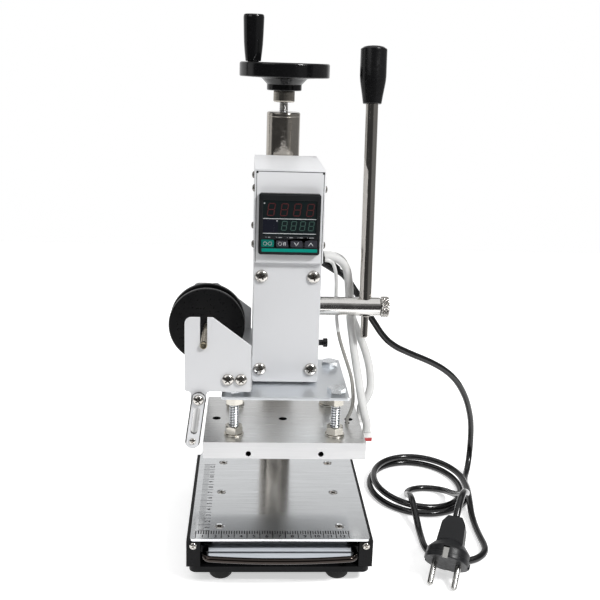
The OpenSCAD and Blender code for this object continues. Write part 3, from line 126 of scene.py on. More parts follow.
class Finish(Shader):
    """A procedural material on Object coordinates, in metres."""

    def __init__(self, name, color, rough, metal=0.0, **sockets):
        FINISHES[name] = self
        self.mat = bpy.data.materials.new(name)
        self.mat.use_nodes = True
        super().__init__(self.mat.node_tree)
        self.bsdf = self.tree.nodes["Principled BSDF"]
        self.color = color
        self.bsdf.inputs["Base Color"].default_value = (*color, 1)
        self.bsdf.inputs["Roughness"].default_value = rough
        self.bsdf.inputs["Metallic"].default_value = metal
        for socket, value in sockets.items():
            self.bsdf.inputs[socket.replace("_", " ")].default_value = value
        self.coords = self.node("ShaderNodeTexCoord").outputs["Object"]
        self.height = None

    def computed(self, operation, *values, kind="ShaderNodeMath"):
        n = self.node(kind)
        n.operation = operation
        for socket, value in zip(n.inputs, values):
            self.put(socket, value)
        return n.outputs["Value"]

    def axis(self, letter):
        return self.node("ShaderNodeSeparateXYZ", Vector=self.coords).outputs[letter]

    def mapped(self, scale, turn=(0, 0, 0), source=None):
        n = self.node("ShaderNodeMapping", Vector=source or self.coords, Scale=scale, Rotation=turn)
        return n.outputs["Vector"]

    def noise(self, scale, detail=3.0, stretch=None, rough=0.5):
        vector = self.mapped(stretch) if stretch else self.coords
        n = self.node("ShaderNodeTexNoise", Vector=vector, Scale=scale, Detail=detail, Roughness=rough)
        return n.outputs["Fac"]

    def tint(self, factor, other):
        """Blends the colour towards another where factor is 1."""
        socket = self.bsdf.inputs["Base Color"]
        now = socket.links[0].from_socket if socket.is_linked else (*self.color, 1)
        n = self.tree.nodes.new("ShaderNodeMix")
        n.data_type = "RGBA"
        first, second = [s for s in n.inputs if s.type == "RGBA"]
        self.put(n.inputs[0], factor)
        self.put(first, now)
        self.put(second, (*other, 1))
        self.put(socket, next(s for s in n.outputs if s.type == "RGBA"))

    def vary_rough(self, factor, low, high):
        self.put(self.bsdf.inputs["Roughness"], self.ranged(factor, low, high))

    def bump(self, factor, strength, depth_mm):
        n = self.node("ShaderNodeBump", Strength=strength, Distance=depth_mm * MM, Height=factor)
        if self.height:
            self.put(n.inputs["Normal"], self.height)
        self.height = n.outputs["Normal"]
        self.put(self.bsdf.inputs["Normal"], self.height)


def paint(name, color, rough, shade, peel=0.05, shine=0.4):
    """Sprayed paint with a fine peel."""
    f = Finish(name, color, rough, 0.0, Specular_IOR_Level=shine)
    f.tint(f.ranged(f.noise(14), 0.0, 0.45), shade)
    f.vary_rough(f.noise(160), rough - 0.05, rough + 0.06)
    f.bump(f.noise(1500, 2), 0.25, peel)
    return f


def brushed(name, color, rough, along, dark, scratch=0.03):
    """Metal with fine lines along one axis."""
    f = Finish(name, color, rough, 1.0)
    stretch = [1.0 if axis == along else 70.0 for axis in range(3)]
    lines = f.noise(22, 5, stretch, 0.65)
    f.tint(f.ranged(lines, 0.0, 0.7), dark)
    f.vary_rough(lines, rough - 0.07, rough + 0.1)
    f.bump(f.noise(45, 4, stretch), 0.3, scratch)
    f.tint(f.ranged(f.noise(35), 0.0, 0.18), dark)
    return f


def polished(name, color, rough, dark, wear=0.05, grain=0.01, size=1400):
    """Plated or turned metal with a faint grain."""
    f = Finish(name, color, rough, 1.0)
    f.tint(f.ranged(f.noise(60, 4), 0.0, 0.35), dark)
    f.vary_rough(f.noise(220, 4), max(0.02, rough - wear), rough + wear)
    f.bump(f.noise(size, 2), 0.12, grain)
    return f


def moulded(name, color, rough, shade, grain=0.04, size=2600, shine=0.3):
    """Plastic, rubber or print."""
    f = Finish(name, color, rough, 0.0, Specular_IOR_Level=shine)
    f.tint(f.ranged(f.noise(70), 0.0, 0.6), shade)
    f.vary_rough(f.noise(400), rough - 0.06, rough + 0.1)
    f.bump(f.noise(size, 2), 0.3, grain)
    return f


def woven(name, color, shade, rough, around, along):
    """Braided sleeve: two crossing sets of strands on the tube's own UV map."""
    f = Finish(name, color, rough)
    uv = f.node("ShaderNodeUVMap").outputs["UV"]
    strands = []
    for lean in (1, -1):
        way = f.mapped((along, around, 1), (0, 0, lean * math.pi / 4), uv)
        strands.append(f.node("ShaderNodeTexWave", Vector=way, Scale=1.0).outputs["Fac"])
    f.tint(f.ranged(strands[0], 0.0, 0.35, 0, 1), shade)
    f.tint(f.ranged(f.noise(120), 0.0, 0.3), shade)
    for strand in strands:
        f.bump(strand, 0.5, 0.12)
    return f


for maker, rows in (
    (paint, {
        "white_paint": ((0.8, 0.805, 0.82), 0.4, (0.775, 0.78, 0.795)),
        "cover_paint": ((0.72, 0.725, 0.74), 0.38, (0.7, 0.705, 0.72)),
        "arm_paint": ((0.72, 0.725, 0.74), 0.38, (0.7, 0.705, 0.72)),
        # Painted shade for the rear bracket's front faces.
        "shaded_paint": ((0.5, 0.505, 0.515), 0.5, (0.46, 0.465, 0.475), 0.05, 0.2),
        "black_paint": ((0.0045, 0.0045, 0.005), 0.3, (0.007, 0.007, 0.0075), 0.05, 0.12),
        "riser_paint": ((0.26, 0.266, 0.284), 0.3, (0.2, 0.206, 0.22), 0.04, 0.5),
    }),
    (brushed, {
        "work_steel": ((0.8, 0.815, 0.83), 0.13, 0, (0.76, 0.775, 0.79), 0.002),
        "block_aluminium": ((0.85, 0.85, 0.845), 0.3, 0, (0.76, 0.76, 0.755), 0.012),
        # Darker copies of block_aluminium: painted shade on the block's front and under faces.
        "block_face": ((0.68, 0.68, 0.685), 0.34, 0, (0.62, 0.62, 0.625), 0.01),
        "block_under": ((0.42, 0.425, 0.43), 0.34, 0, (0.34, 0.345, 0.35), 0.01),
        "rail_aluminium": ((0.4, 0.42, 0.445), 0.3, 0, (0.33, 0.35, 0.375), 0.008),
        "bar_aluminium": ((0.72, 0.73, 0.74), 0.34, 1, (0.6, 0.61, 0.62), 0.02),
        "ground_steel": ((0.55, 0.555, 0.56), 0.3, 2, (0.42, 0.425, 0.43), 0.015),
    }),
    (polished, {
        "nickel": ((0.56, 0.525, 0.475), 0.14, (0.42, 0.39, 0.35), 0.07, 0.5, 520),
        "collar_nickel": ((0.46, 0.43, 0.38), 0.18, (0.34, 0.315, 0.28)),
        "knurl_nickel": ((0.66, 0.64, 0.61), 0.2, (0.52, 0.5, 0.47), 0.04),
        "pin_nickel": ((0.4, 0.395, 0.38), 0.2, (0.3, 0.295, 0.285)),
        "screw_nickel": ((0.6, 0.58, 0.55), 0.17, (0.45, 0.43, 0.4), 0.04),
        "lever_chrome": ((0.56, 0.535, 0.5), 0.1, (0.44, 0.41, 0.375), 0.05, 0.1, 700),
        "shaft_chrome": ((0.7, 0.69, 0.67), 0.16, (0.54, 0.53, 0.51), 0.06, 0.22, 700),
        # Painted reflection: the chrome handle is coloured dark brown, like its dark reflections.
        "handle_chrome": ((0.05, 0.041, 0.037), 0.1, (0.033, 0.028, 0.025), 0.03),
        "zinc": ((0.78, 0.8, 0.82), 0.3, (0.7, 0.725, 0.75), 0.03),
        "plate_zinc": ((0.8, 0.825, 0.85), 0.36, (0.76, 0.785, 0.81), 0.02, 0.004),
        "warm_zinc": ((0.62, 0.595, 0.54), 0.2, (0.5, 0.475, 0.42), 0.03),
        "thread_zinc": ((0.78, 0.8, 0.82), 0.24, (0.7, 0.725, 0.75), 0.03),
        "dark_steel": ((0.2, 0.19, 0.175), 0.3, (0.12, 0.11, 0.1)),
        "black_screw": ((0.03, 0.03, 0.032), 0.32, (0.05, 0.05, 0.052)),
        "brass": ((0.6, 0.47, 0.25), 0.25, (0.45, 0.34, 0.17)),
        "rod_thread": ((0.6, 0.55, 0.46), 0.26, (0.45, 0.41, 0.34)),
        "rod_end": ((0.62, 0.55, 0.4), 0.22, (0.5, 0.43, 0.3)),
        "rod_bright": ((0.93, 0.93, 0.925), 0.38, (0.85, 0.85, 0.845)),
        # Painted highlight on the front spool flange's edge.
        "spool_edge": ((0.75, 0.75, 0.75), 0.25, (0.6, 0.6, 0.6)),
        # Painted shade on the sides of the guide arms.
        "arm_edge": ((0.16, 0.155, 0.15), 0.3, (0.1, 0.095, 0.09)),
    }),
    (moulded, {
        "gloss_black": ((0.004, 0.004, 0.0045), 0.13, (0.007, 0.007, 0.0075), 0.008, 700, 0.45),
        "matt_black": ((0.006, 0.006, 0.0065), 0.42, (0.01, 0.01, 0.0105), 0.03, 2600, 0.2),
        "knob_black": ((0.005, 0.005, 0.0055), 0.2, (0.008, 0.008, 0.0085), 0.01, 900, 0.4),
        "spool_black": ((0.005, 0.005, 0.0055), 0.3, (0.008, 0.008, 0.0085), 0.015, 1800, 0.2),
        "feet_rubber": ((0.008, 0.008, 0.008), 0.5, (0.013, 0.013, 0.0125), 0.06, 2600, 0.2),
        "cord_rubber": ((0.004, 0.004, 0.0045), 0.15, (0.007, 0.007, 0.0075), 0.012, 500, 0.5),
        "plug_plastic": ((0.009, 0.0095, 0.0105), 0.34, (0.014, 0.0145, 0.0155), 0.04, 2600, 0.25),
        "bezel_plastic": ((0.011, 0.012, 0.0135), 0.36, (0.016, 0.017, 0.019), 0.025, 2600, 0.28),
        "key_plastic": ((0.035, 0.035, 0.045), 0.4, (0.026, 0.026, 0.034), 0.02),
        "teal_key": ((0.0, 0.16, 0.125), 0.4, (0.0, 0.12, 0.095), 0.02),
        "strip_teal": ((0.0, 0.27, 0.21), 0.35, (0.0, 0.22, 0.17), 0.01, 900),
        "display_glass": ((0.008, 0.013, 0.014), 0.16, (0.011, 0.017, 0.018), 0.004, 500),
        "display_shade": ((0.01, 0.011, 0.018), 0.2, (0.014, 0.015, 0.023), 0.004, 500),
        "figure_red": ((0.075, 0.018, 0.019), 0.3, (0.055, 0.014, 0.015), 0.004, 500),
        "figure_green": ((0.05, 0.1, 0.085), 0.3, (0.04, 0.08, 0.068), 0.004, 500),
        "print_white": ((0.62, 0.64, 0.65), 0.45, (0.5, 0.52, 0.53), 0.004, 900),
        "legend_grey": ((0.3, 0.31, 0.32), 0.45, (0.24, 0.25, 0.26), 0.004, 900),
        "ruler_ink": ((0.004, 0.004, 0.005), 0.6, (0.008, 0.008, 0.009), 0.004, 900, 0.1),
        "groove_shadow": ((0.012, 0.012, 0.013), 0.7, (0.02, 0.02, 0.021), 0.02),
    }),
    (woven, {
        "glass_sleeve": ((0.76, 0.76, 0.75), (0.66, 0.66, 0.65), 0.6, 22, 900),
        "probe_braid": ((0.42, 0.41, 0.38), (0.14, 0.135, 0.125), 0.35, 12, 1400),
    }),
):
    for name, values in rows.items():
        maker(name, *values)

# Painted shade: darker faces in cross recesses and in the valleys of threads and knurls
for name, dark in {
    "screw_nickel": (0.3, 0.26, 0.22), "rod_thread": (0.03, 0.028, 0.025), "thread_zinc": (0.07, 0.075, 0.08),
    "knurl_nickel": (0.09, 0.08, 0.07), "dark_steel": (0.01, 0.01, 0.01),
}.items():
    finish = FINISHES[name]
    recess = finish.node("ShaderNodeAttribute")
    recess.attribute_name = "recess"
    finish.tint(finish.ranged(recess.outputs["Fac"], 0.0, 0.9, 0, 1), dark)


def whiten_braid(f):
    """The thermocouple's braid changes to a white sleeve at its upper end."""
    f.tint(f.ranged(f.axis("Z"), 0.0, 1.0, 0.1715, 0.1725), (0.78, 0.78, 0.77))


def line_arms(f):
    """Painted shade: a dark line along both long sides of the guide arms."""
    lean = (GUIDE_PIVOT - GUIDE_FOOT).normalized()
    across = Vector((lean.z, 0, -lean.x))
    place = f.computed("DOT_PRODUCT", f.coords, across, kind="ShaderNodeVectorMath")
    away = f.computed("ABSOLUTE", f.computed("SUBTRACT", place, across.dot(GUIDE_PIVOT) * MM))
    f.tint(f.ranged(away, 0.0, 1.0, 0.0047, 0.0049), (0.015, 0.015, 0.016))


def boot_finish():
    """White sleeve ends, with the red boot showing only at the foot of the front one."""
    f = Finish("boot_sleeve", (0.8, 0.8, 0.785), 0.55)
    f.tint(f.ranged(f.noise(260), 0.0, 0.4), (0.68, 0.68, 0.66))
    front = f.ranged(f.axis("Y"), 1.0, 0.0, -0.051, -0.0505)
    foot = f.ranged(f.axis("Z"), 1.0, 0.0, 0.0975, 0.0985)
    f.tint(f.computed("MULTIPLY", front, foot), (0.5, 0.03, 0.035))
    f.bump(f.noise(900, 2), 0.25, 0.05)


whiten_braid(FINISHES["probe_braid"])
line_arms(FINISHES["arm_paint"])
boot_finish()


# Meshes
def mesh_from(bm, name):
    mesh = bpy.data.meshes.new(name)
    bm.to_mesh(mesh)
    bm.free()
    return mesh


def smooth(mesh, limit=35):
    """Smooth faces, with the edges sharper than limit degrees kept crisp."""
    bm = bmesh.new()
    bm.from_mesh(mesh)
    for f in bm.faces:
        f.smooth = True
    for e in bm.edges:
        e.smooth = len(e.link_faces) == 2 and e.calc_face_angle(0) < math.radians(limit)
    bm.to_mesh(mesh)
    bm.free()
    return mesh


def piece(name, mesh, finish, body, stands_for=()):
    obj = linked(name, mesh)
    mesh.materials.clear()
    mesh.materials.append(FINISHES[finish].mat)
    if body:
        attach(obj, body)
    if stands_for:
        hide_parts(*stands_for)
    return obj


def stand_in(node, ending, mesh, finish):
    """A piece that takes a node's place on its body."""
    return piece(node + ending, mesh, finish, body_of[node], (node,))


def evaluated_mesh(obj):
    """The object's shape with its modifiers applied; the object goes."""
    graph = bpy.context.evaluated_depsgraph_get()
    graph.update()
    mesh = bpy.data.meshes.new_from_object(obj.evaluated_get(graph), depsgraph=graph)
    bpy.data.objects.remove(obj)
    return mesh


def cad_copy(node):
    """A merged copy of a node's mesh, with its flat faces whole again."""
    bm = bmesh.new()
    bm.from_mesh(nodes[node].data)
    bmesh.ops.remove_doubles(bm, verts=bm.verts, dist=2e-6)
    bmesh.ops.dissolve_limit(bm, angle_limit=math.radians(0.4), verts=bm.verts, edges=bm.edges)
    return bm


def node_mesh(node):
    return mesh_from(cad_copy(node), node + "_dressed")


def softened(mesh, width_mm, segments=2):
    """The mesh with its sharp edges broken by a small round."""
    for f in mesh.polygons:
        f.use_smooth = True
    tmp = linked("softening", mesh)
    edge = tmp.modifiers.new("edge", "BEVEL")
    edge.width = width_mm * MM
    edge.segments = segments
    edge.limit_method = "ANGLE"
    edge.angle_limit = math.radians(40)
    edge.use_clamp_overlap = True
    shade = tmp.modifiers.new("shade", "WEIGHTED_NORMAL")
    shade.mode = "FACE_AREA"
    shade.weight = 100
    shade.keep_sharp = True
    return evaluated_mesh(tmp)


def dress(node, finish, width_mm, segments=2):
    """Replaces a node by its own shape with broken edges."""
    return stand_in(node, "_dressed", softened(node_mesh(node), width_mm, segments), finish)


def polar(radius, turns, z):
    """A point in metres, from a radius in mm, a share of a full turn and a height in mm."""
    a = 2 * math.pi * turns
    return (radius * math.cos(a) * MM, radius * math.sin(a) * MM, z * MM)


def loft(rings, closed_ends=True, bm=None):
    """A skin over rings of equal length; each ring is a closed loop of points in metres."""
    bm = bmesh.new() if bm is None else bm
    rows = [[bm.verts.new(p) for p in ring] for ring in rings]
    n = len(rows[0])
    for a, b in zip(rows, rows[1:]):
        for i in range(n):
            bm.faces.new((a[i], a[(i + 1) % n], b[(i + 1) % n], b[i]))
    if closed_ends:
        bm.faces.new(list(reversed(rows[0])))
        bm.faces.new(rows[-1])
    bmesh.ops.recalc_face_normals(bm, faces=bm.faces)
    return bm


def turned(profile, segments):
    """Turns a profile of (radius, height) in mm about the Z axis; a radius of 0 is a pole."""
    bm = bmesh.new()
    turns = [k / segments for k in range(segments)]
    rows = [[bm.verts.new(polar(r, t, z)) for t in (turns if r else [0])] for r, z in profile]
    for a, b in zip(rows, rows[1:]):
        for k in range(segments):
            j = (k + 1) % segments
            corners = (a[k % len(a)], b[k % len(b)], b[j % len(b)], a[j % len(a)])
            corners = list(dict.fromkeys(corners))
            if len(corners) > 2:
                bm.faces.new(corners)
    bmesh.ops.remove_doubles(bm, verts=bm.verts, dist=1e-7)
    bmesh.ops.recalc_face_normals(bm, faces=bm.faces)
    return mesh_from(bm, "turned")


def rectangle(x0, y0, x1, y1, z):
    """Corners of a level rectangle, from mm to metres."""
    return [(x * MM, y * MM, z * MM) for x, y in ((x0, y0), (x1, y0), (x1, y1), (x0, y1))]


def boxes(*corners):
    """Boxes between low and high corners in mm."""
    bm = bmesh.new()
    for low, high in corners:
        loft([rectangle(*low[:2], *high[:2], z) for z in (low[2], high[2])], bm=bm)
    return mesh_from(bm, "boxes")


def joined(*meshes):
    """One mesh out of several."""
    bm = bmesh.new()
    for mesh in meshes:
        bm.from_mesh(mesh)
    return mesh_from(bm, meshes[0].name)


def cut(mesh, tool):
    """The mesh less the tool."""
    blank, knife = linked("blank", mesh), linked("tool", tool)
    m = blank.modifiers.new("cut", "BOOLEAN")
    m.operation = "DIFFERENCE"
    m.solver = "EXACT"
    m.object = knife
    knife.hide_render = True
    out = evaluated_mesh(blank)
    bpy.data.objects.remove(knife)
    return out


def moved(mesh, place, way=UP):
    """Brings a piece from its own axis to a place in mm."""
    turn = UP.rotation_difference(Vector(way)).to_matrix().to_4x4()
    mesh.transform(Matrix.Translation(Vector(place) * MM) @ turn)
    return mesh


def recolour(obj, finish, rule):
    """Gives the faces that a rule picks, by their centre in mm and their normal, another finish."""
    obj.data.materials.append(FINISHES[finish].mat)
    k = len(obj.data.materials) - 1
    for f in obj.data.polygons:
        if rule(f.center / MM, f.normal):
            f.material_index = k


# Cords: the routes of the solids, in mm
ROUTE_STEPS = 5


def between(a, b, ta, tb, t):
    """The place at t on a line that is at a at ta and at b at tb."""
    return ((tb - t) * a + (t - ta) * b) / (tb - ta)


def smooth_route(points):
    """Points of a smooth curve through the route, its knots spaced by the route's own steps."""
    p = [Vector(x) for x in points]
    p = [2 * p[0] - p[1]] + p + [2 * p[-1] - p[-2]]
    out = []
    for i in range(1, len(p) - 2):
        a, b, c, d = p[i - 1:i + 3]
        t0, t1 = 0.0, (b - a).length ** 0.5
        t2 = t1 + (c - b).length ** 0.5
        t3 = t2 + (d - c).length ** 0.5
        for s in range(ROUTE_STEPS):
            t = t1 + (t2 - t1) * s / ROUTE_STEPS
            ab, bc, cd = between(a, b, t0, t1, t), between(b, c, t1, t2, t), between(c, d, t2, t3, t)
            abc, bcd = between(ab, bc, t0, t2, t), between(bc, cd, t1, t3, t)
            out.append(between(abc, bcd, t1, t2, t))
    out.append(p[-2])
    return out


def tube(points, radius, sides):
    """A round tube along points in mm, with a UV map: u is the way along in metres, v goes round."""
    bm = bmesh.new()
    n = len(points)
    ways = [(points[min(i + 1, n - 1)] - points[max(i - 1, 0)]).normalized() for i in range(n)]
    side = ways[0].orthogonal().normalized()
    rows = []
    along = [0.0]
    for a, b in zip(points, points[1:]):
        along.append(along[-1] + (b - a).length * MM)
    turns = [2 * math.pi * k / sides for k in range(sides)]
    for p, w in zip(points, ways):
        side = (side - side.dot(w) * w).normalized()
        other = w.cross(side)
        rows.append([
            bm.verts.new((p + radius * (math.cos(a) * side + math.sin(a) * other)) * MM) for a in turns
        ])
    uv = bm.loops.layers.uv.new("UVMap")
    for i in range(n - 1):
        for k in range(sides):
            j = (k + 1) % sides
            f = bm.faces.new((rows[i][k], rows[i][j], rows[i + 1][j], rows[i + 1][k]))
            f.smooth = True
            corners = ((along[i], k), (along[i], k + 1), (along[i + 1], k + 1), (along[i + 1], k))
            for loop, (u, v) in zip(f.loops, corners):
                loop[uv].uv = (u, v / sides)
    bm.faces.new(list(reversed(rows[0])))
    bm.faces.new(rows[-1])
    return bm


GLAND_LEAN, GLAND_L = math.radians(35), 22
gland_way = Vector((math.cos(GLAND_LEAN), 0, -math.sin(GLAND_LEAN)))
gland_end = Vector((33, 30, 232)) + GLAND_L * gland_way
drop_route = [
    gland_end, gland_end + 6 * gland_way, (61.6, 30, 209.6), (67, 30, 202), (72, 30, 194.5), (77, 31, 186.5),
    (82, 31, 178), (88, 32, 169), (94, 33, 160.5), (101, 34, 153), (109, 36, 147), (118, 39, 142),
    (128, 42, 137), (138, 46, 132), (148, 50, 126.5), (158, 54, 120), (167, 58, 112.5), (175, 63, 103.5),
    (182, 68, 93), (188, 73, 81.5), (193, 79, 69), (197, 84.5, 56), (199.5, 89, 43), (200.5, 91, 32),
    (200.2, 89.5, 21.5), (198.5, 84.5, 12), (195.5, 76.5, 5.5), (191.5, 66, 3.2), (188.8, 56, 3.02),
    (188, 51, 3.02), (188, 45, 3.02),
]
FLOOR_LAYER, LAYER_STEP = 3.02, 6.5
COIL_MID_X, COIL_MID_Y = 138.5, 45
COIL_X, COIL_Y, COIL_SHRINK, COIL_STEPS = 49.5, 58, 8, 24
FRONT_FOLD_R, BACK_FOLD_R, ARCH_R = 26, 20, 26


def ease(u):
    u = min(1, max(0, u))
    return u * u * (3 - 2 * u)


def coil_point(t):
    """The coil spirals in for one turn, climbs a layer in half a turn and spirals out again."""
    shrink = COIL_SHRINK * (t if t < 1 else 1 if t < 1.5 else 2.5 - t)
    a = 2 * math.pi * t
    z = FLOOR_LAYER + LAYER_STEP * ease((t - 1) / 0.5)
    x, y = (COIL_X - shrink) * math.cos(a), (COIL_Y - shrink) * math.sin(a)
    return (COIL_MID_X + x, COIL_MID_Y - y, z)


PLUG_HEADING, PLUG_TILT, PLUG_L = math.radians(246), math.radians(42), 58
plug_level = Vector((-math.cos(PLUG_HEADING), -math.sin(PLUG_HEADING), 0))
plug_back = math.cos(PLUG_TILT) * plug_level + math.sin(PLUG_TILT) * UP
plug_end = Vector((127.4, -128, 1.8)) + PLUG_L * plug_back
arch_start = plug_end + 6 * plug_back
coil_route = [coil_point(i / COIL_STEPS) for i in range(1, 2 * COIL_STEPS)]
coil_end = Vector(coil_point(2))


def fold(x, y, radius, degrees, lift=0.0):
    a = math.radians(degrees)
    return (x + radius * math.cos(a), y + radius * math.sin(a), FLOOR_LAYER + lift)


def back_fold(degrees):
    """A fold that rises towards both ends."""
    lift = (3.5 if degrees > 90 else 5.8) * ((degrees - 90) / 90) ** 2
    return fold(145, 20, BACK_FOLD_R, degrees, lift)


def arch(degrees):
    """The cord comes over in an arch and leaves along the plug."""
    a = math.radians(degrees)
    rise = ARCH_R * (math.cos(a) - math.cos(PLUG_TILT))
    return arch_start + ARCH_R * (math.sin(PLUG_TILT) - math.sin(a)) * plug_level + rise * UP


tail_route = (
    [coil_end - Vector(d) for d in ((0, 0, 0), (0, 6, 0), (0.5, 19, 0), (2.2, 33, 0.1))]
    + [(179.7, -2, 8.2), (178, -16, 5.6), (177.3, -30, 3.6), (177, -44, 3.02), (177, -55, 3.02)]
    + [fold(151, -66, FRONT_FOLD_R, -a) for a in range(0, 181, 20)]
    + [(125, -54, 3.05), (125, -42, 4.2), (124.9, -30, 7.8)]
    + [(124.6, -17, 12), (124.4, -4, 14.6), (124.6, 8, 11.6)]
    + [back_fold(a) for a in range(180, -1, -20)]
    + [(166, 8, 13.4), (167, -4, 18.9), (167.3, -16, 24.9), (166.5, -30, 32.6), (163.9, -44, 40.6)]
    + [arch(a) for a in range(-30, 43, 12)]
    + [plug_end]
)
cord_line = smooth_route(drop_route + coil_route + tail_route)
cord_shape = mesh_from(tube(cord_line, 2.96, 16), "mains_cord")
cord_nodes = ("cord_drop", "cord_coil", "cord_tail")
mains_cord = piece("mains_cord", cord_shape, "cord_rubber", None, cord_nodes)
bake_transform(mains_cord)

front_route = [
    (36, 6, 236), (43, 6, 236), (50.5, 6, 233.5), (56, 6.5, 227), (58.5, 7, 217), (60, 7.5, 205),
    (61, 7, 193), (61.5, 5, 181), (63, 0, 169), (64.5, -7, 157), (66, -17, 146), (67.2, -28, 136.5),
    (68, -39, 128), (69, -48, 121), (70.4, -53.5, 114.7), (72, -55, 108.7), (72, -55, 101.7),
]
rear_route = [
    (36, 18, 236), (43, 18, 236), (50.5, 18, 233.5), (56, 18.5, 227), (59, 19, 217), (60.5, 19.5, 205),
    (61.5, 19, 193), (64.2, 17.5, 181), (69, 14.5, 169), (74.5, 10, 157), (78.5, 4, 145), (80.5, -2.5, 133),
    (80, -9, 122.2), (76.6, -13.4, 115.3), (72, -15, 108.7), (72, -15, 101.7),
]
probe_route = [
    (36, -5, 236), (39, -5, 236), (43, -3, 233.5), (46, 0, 226), (47.5, 3.5, 216), (48, 5.5, 206),
    (48.5, 6, 196), (49, 4.5, 186), (50, 1.5, 176), (52, -3, 166), (55, -9, 156.5), (58.2, -16, 147.5),
    (61, -24, 138.5), (62, -32, 129), (61.5, -39, 120), (59, -42.5, 113), (57, -43, 108.5), (57, -43, 98.5),
]

for name, route, radius, finish, slot, node in (
    ("heater_sleeve_front", front_route, 3.5, "glass_sleeve", "white_sleeve", "heater_leads"),
    ("heater_sleeve_rear", rear_route, 3.5, "glass_sleeve", "white_sleeve", "heater_leads"),
    ("thermocouple_lead", probe_route, 1.5, "probe_braid", "braid", "probe_lead"),
):
    line = smooth_route(route)
    lead = piece(name, mesh_from(tube(line, radius, 14), name), finish, None, (node,))
    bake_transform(lead)


# Patterns of equal pieces
class Pattern:
    """A Geometry Nodes tree that sets pieces on points and gives them one finish."""

    def __init__(self, name, **inputs):
        self.tree = bpy.data.node_groups.new(name, "GeometryNodeTree")
        self.inputs = {}
        for label, kind in inputs.items():
            socket = self.tree.interface.new_socket(label, in_out="INPUT", socket_type="NodeSocket" + kind)
            self.inputs[label] = socket.identifier
        self.tree.interface.new_socket("Pieces", in_out="OUTPUT", socket_type="NodeSocketGeometry")
        self.given, result = self.node("NodeGroupInput"), self.node("NodeGroupOutput")
        self.placed = self.node("GeometryNodeInstanceOnPoints")
        real, finish = self.node("GeometryNodeRealizeInstances"), self.node("GeometryNodeSetMaterial")
        self.link(self.placed, "Instances", real, "Geometry")
        self.link(real, "Geometry", finish, "Geometry")
        self.link(self.given, "Finish", finish, "Material")
        self.link(finish, "Geometry", result, "Pieces")

    def node(self, kind, **settings):
        n = self.tree.nodes.new(kind)
        for key, value in settings.items():
            setattr(n, key, value)
        return n

    def attribute(self, name, kind):
        n = self.node("GeometryNodeInputNamedAttribute", data_type=kind)
        n.inputs["Name"].default_value = name
        return n

    def link(self, source, output, target, entry):
        self.tree.links.new(source.outputs[output], target.inputs[entry])

    def grow(self, mesh, **values):
        """Evaluates the tree on a mesh into a plain mesh."""
        host = linked("pattern_host", mesh)
        m = host.modifiers.new("grow", "NODES")
        m.node_group = self.tree
        for label, value in values.items():
            m[self.inputs[label]] = value
        return evaluated_mesh(host)


def set_on_points():
    """A piece on every point, facing along one attribute and spun by another."""
    p = Pattern("set_on_points", Points="Geometry", Piece="Object", Finish="Material")
    info = p.node("GeometryNodeObjectInfo")
    aim = p.node("FunctionNodeAlignRotationToVector", axis="Z")
    about = p.node("FunctionNodeAxisAngleToRotation")
    about.inputs["Axis"].default_value = UP
    both = p.node("FunctionNodeRotateRotation", rotation_space="LOCAL")
    p.link(p.given, "Points", p.placed, "Points")
    p.link(p.given, "Piece", info, "Object")
    p.link(info, "Geometry", p.placed, "Instance")
    p.link(p.attribute("facing", "FLOAT_VECTOR"), "Attribute", aim, "Vector")
    p.link(p.attribute("spin", "FLOAT"), "Attribute", about, "Angle")
    p.link(aim, "Rotation", both, "Rotation")
    p.link(about, "Rotation", both, "Rotate By")
    p.link(both, "Rotation", p.placed, "Rotation")
    return p


def row_of_ticks():
    """A row of equal ticks."""
    p = Pattern("tick_row", Count="Int", Start="Vector", Step="Vector", Size="Vector", Finish="Material")
    line, tick = p.node("GeometryNodeMeshLine", mode="OFFSET"), p.node("GeometryNodeMeshCube")
    p.link(p.given, "Count", line, "Count")
    p.link(p.given, "Start", line, "Start Location")
    p.link(p.given, "Step", line, "Offset")
    p.link(p.given, "Size", tick, "Size")
    p.link(line, "Mesh", p.placed, "Points")
    p.link(tick, "Mesh", p.placed, "Instance")
    return p


SET_ON_POINTS, TICK_ROW = set_on_points(), row_of_ticks()


def spread(unit, spots, finish):
    """The unit set on spots of (place in mm, facing, spin in degrees)."""
    points = bpy.data.meshes.new("spots")
    points.from_pydata([Vector(p) * MM for p, _, _ in spots], [], [])
    points.attributes.new("facing", "FLOAT_VECTOR", "POINT")
    points.attributes.new("spin", "FLOAT", "POINT")
    for i, (_, way, turn) in enumerate(spots):
        points.attributes["facing"].data[i].vector = way
        points.attributes["spin"].data[i].value = math.radians(turn)
    unit_piece = linked("unit", unit)
    out = SET_ON_POINTS.grow(points, Piece=unit_piece, Finish=FINISHES[finish].mat)
    bpy.data.objects.remove(unit_piece)
    return out


def set_of(node, unit, spots, finish):
    """A set of equal pieces that stands for a node."""
    return stand_in(node, "_set", spread(unit, spots, finish), finish)


def solids(node):
    """Boxes of the separate solids of a node, as low and high corners in mm."""
    bm = cad_copy(node)
    left, found = set(bm.verts), []
    while left:
        stack, island = [left.pop()], []
        while stack:
            v = stack.pop()
            island.append(v.co / MM)
            for e in v.link_edges:
                w = e.other_vert(v)
                if w in left:
                    left.discard(w)
                    stack.append(w)
        low, high = (Vector([pick(p[i] for p in island) for i in range(3)]) for pick in (min, max))
        found.append((low, high))
    bm.free()
    return sorted(found, key=lambda b: tuple(round(x, 2) for x in b[0]))


# Shapes of screws, nuts, threads and knurls, in mm about their own axis
DOME_FOOT, DOME_STEPS = 0.15, 8


def dome_height(head_h, share):
    return head_h * (DOME_FOOT + (1 - DOME_FOOT) * share)


def blade(length, width, top, depth):
    """A tapered bar, one half of a cross recess."""
    x, y = 0.3 * length, 0.36 * width
    low = rectangle(-x, -y, x, y, top - depth)
    x, y = 0.5 * length, 0.5 * width
    return loft([low, rectangle(-x, -y, x, y, top + 0.5)])


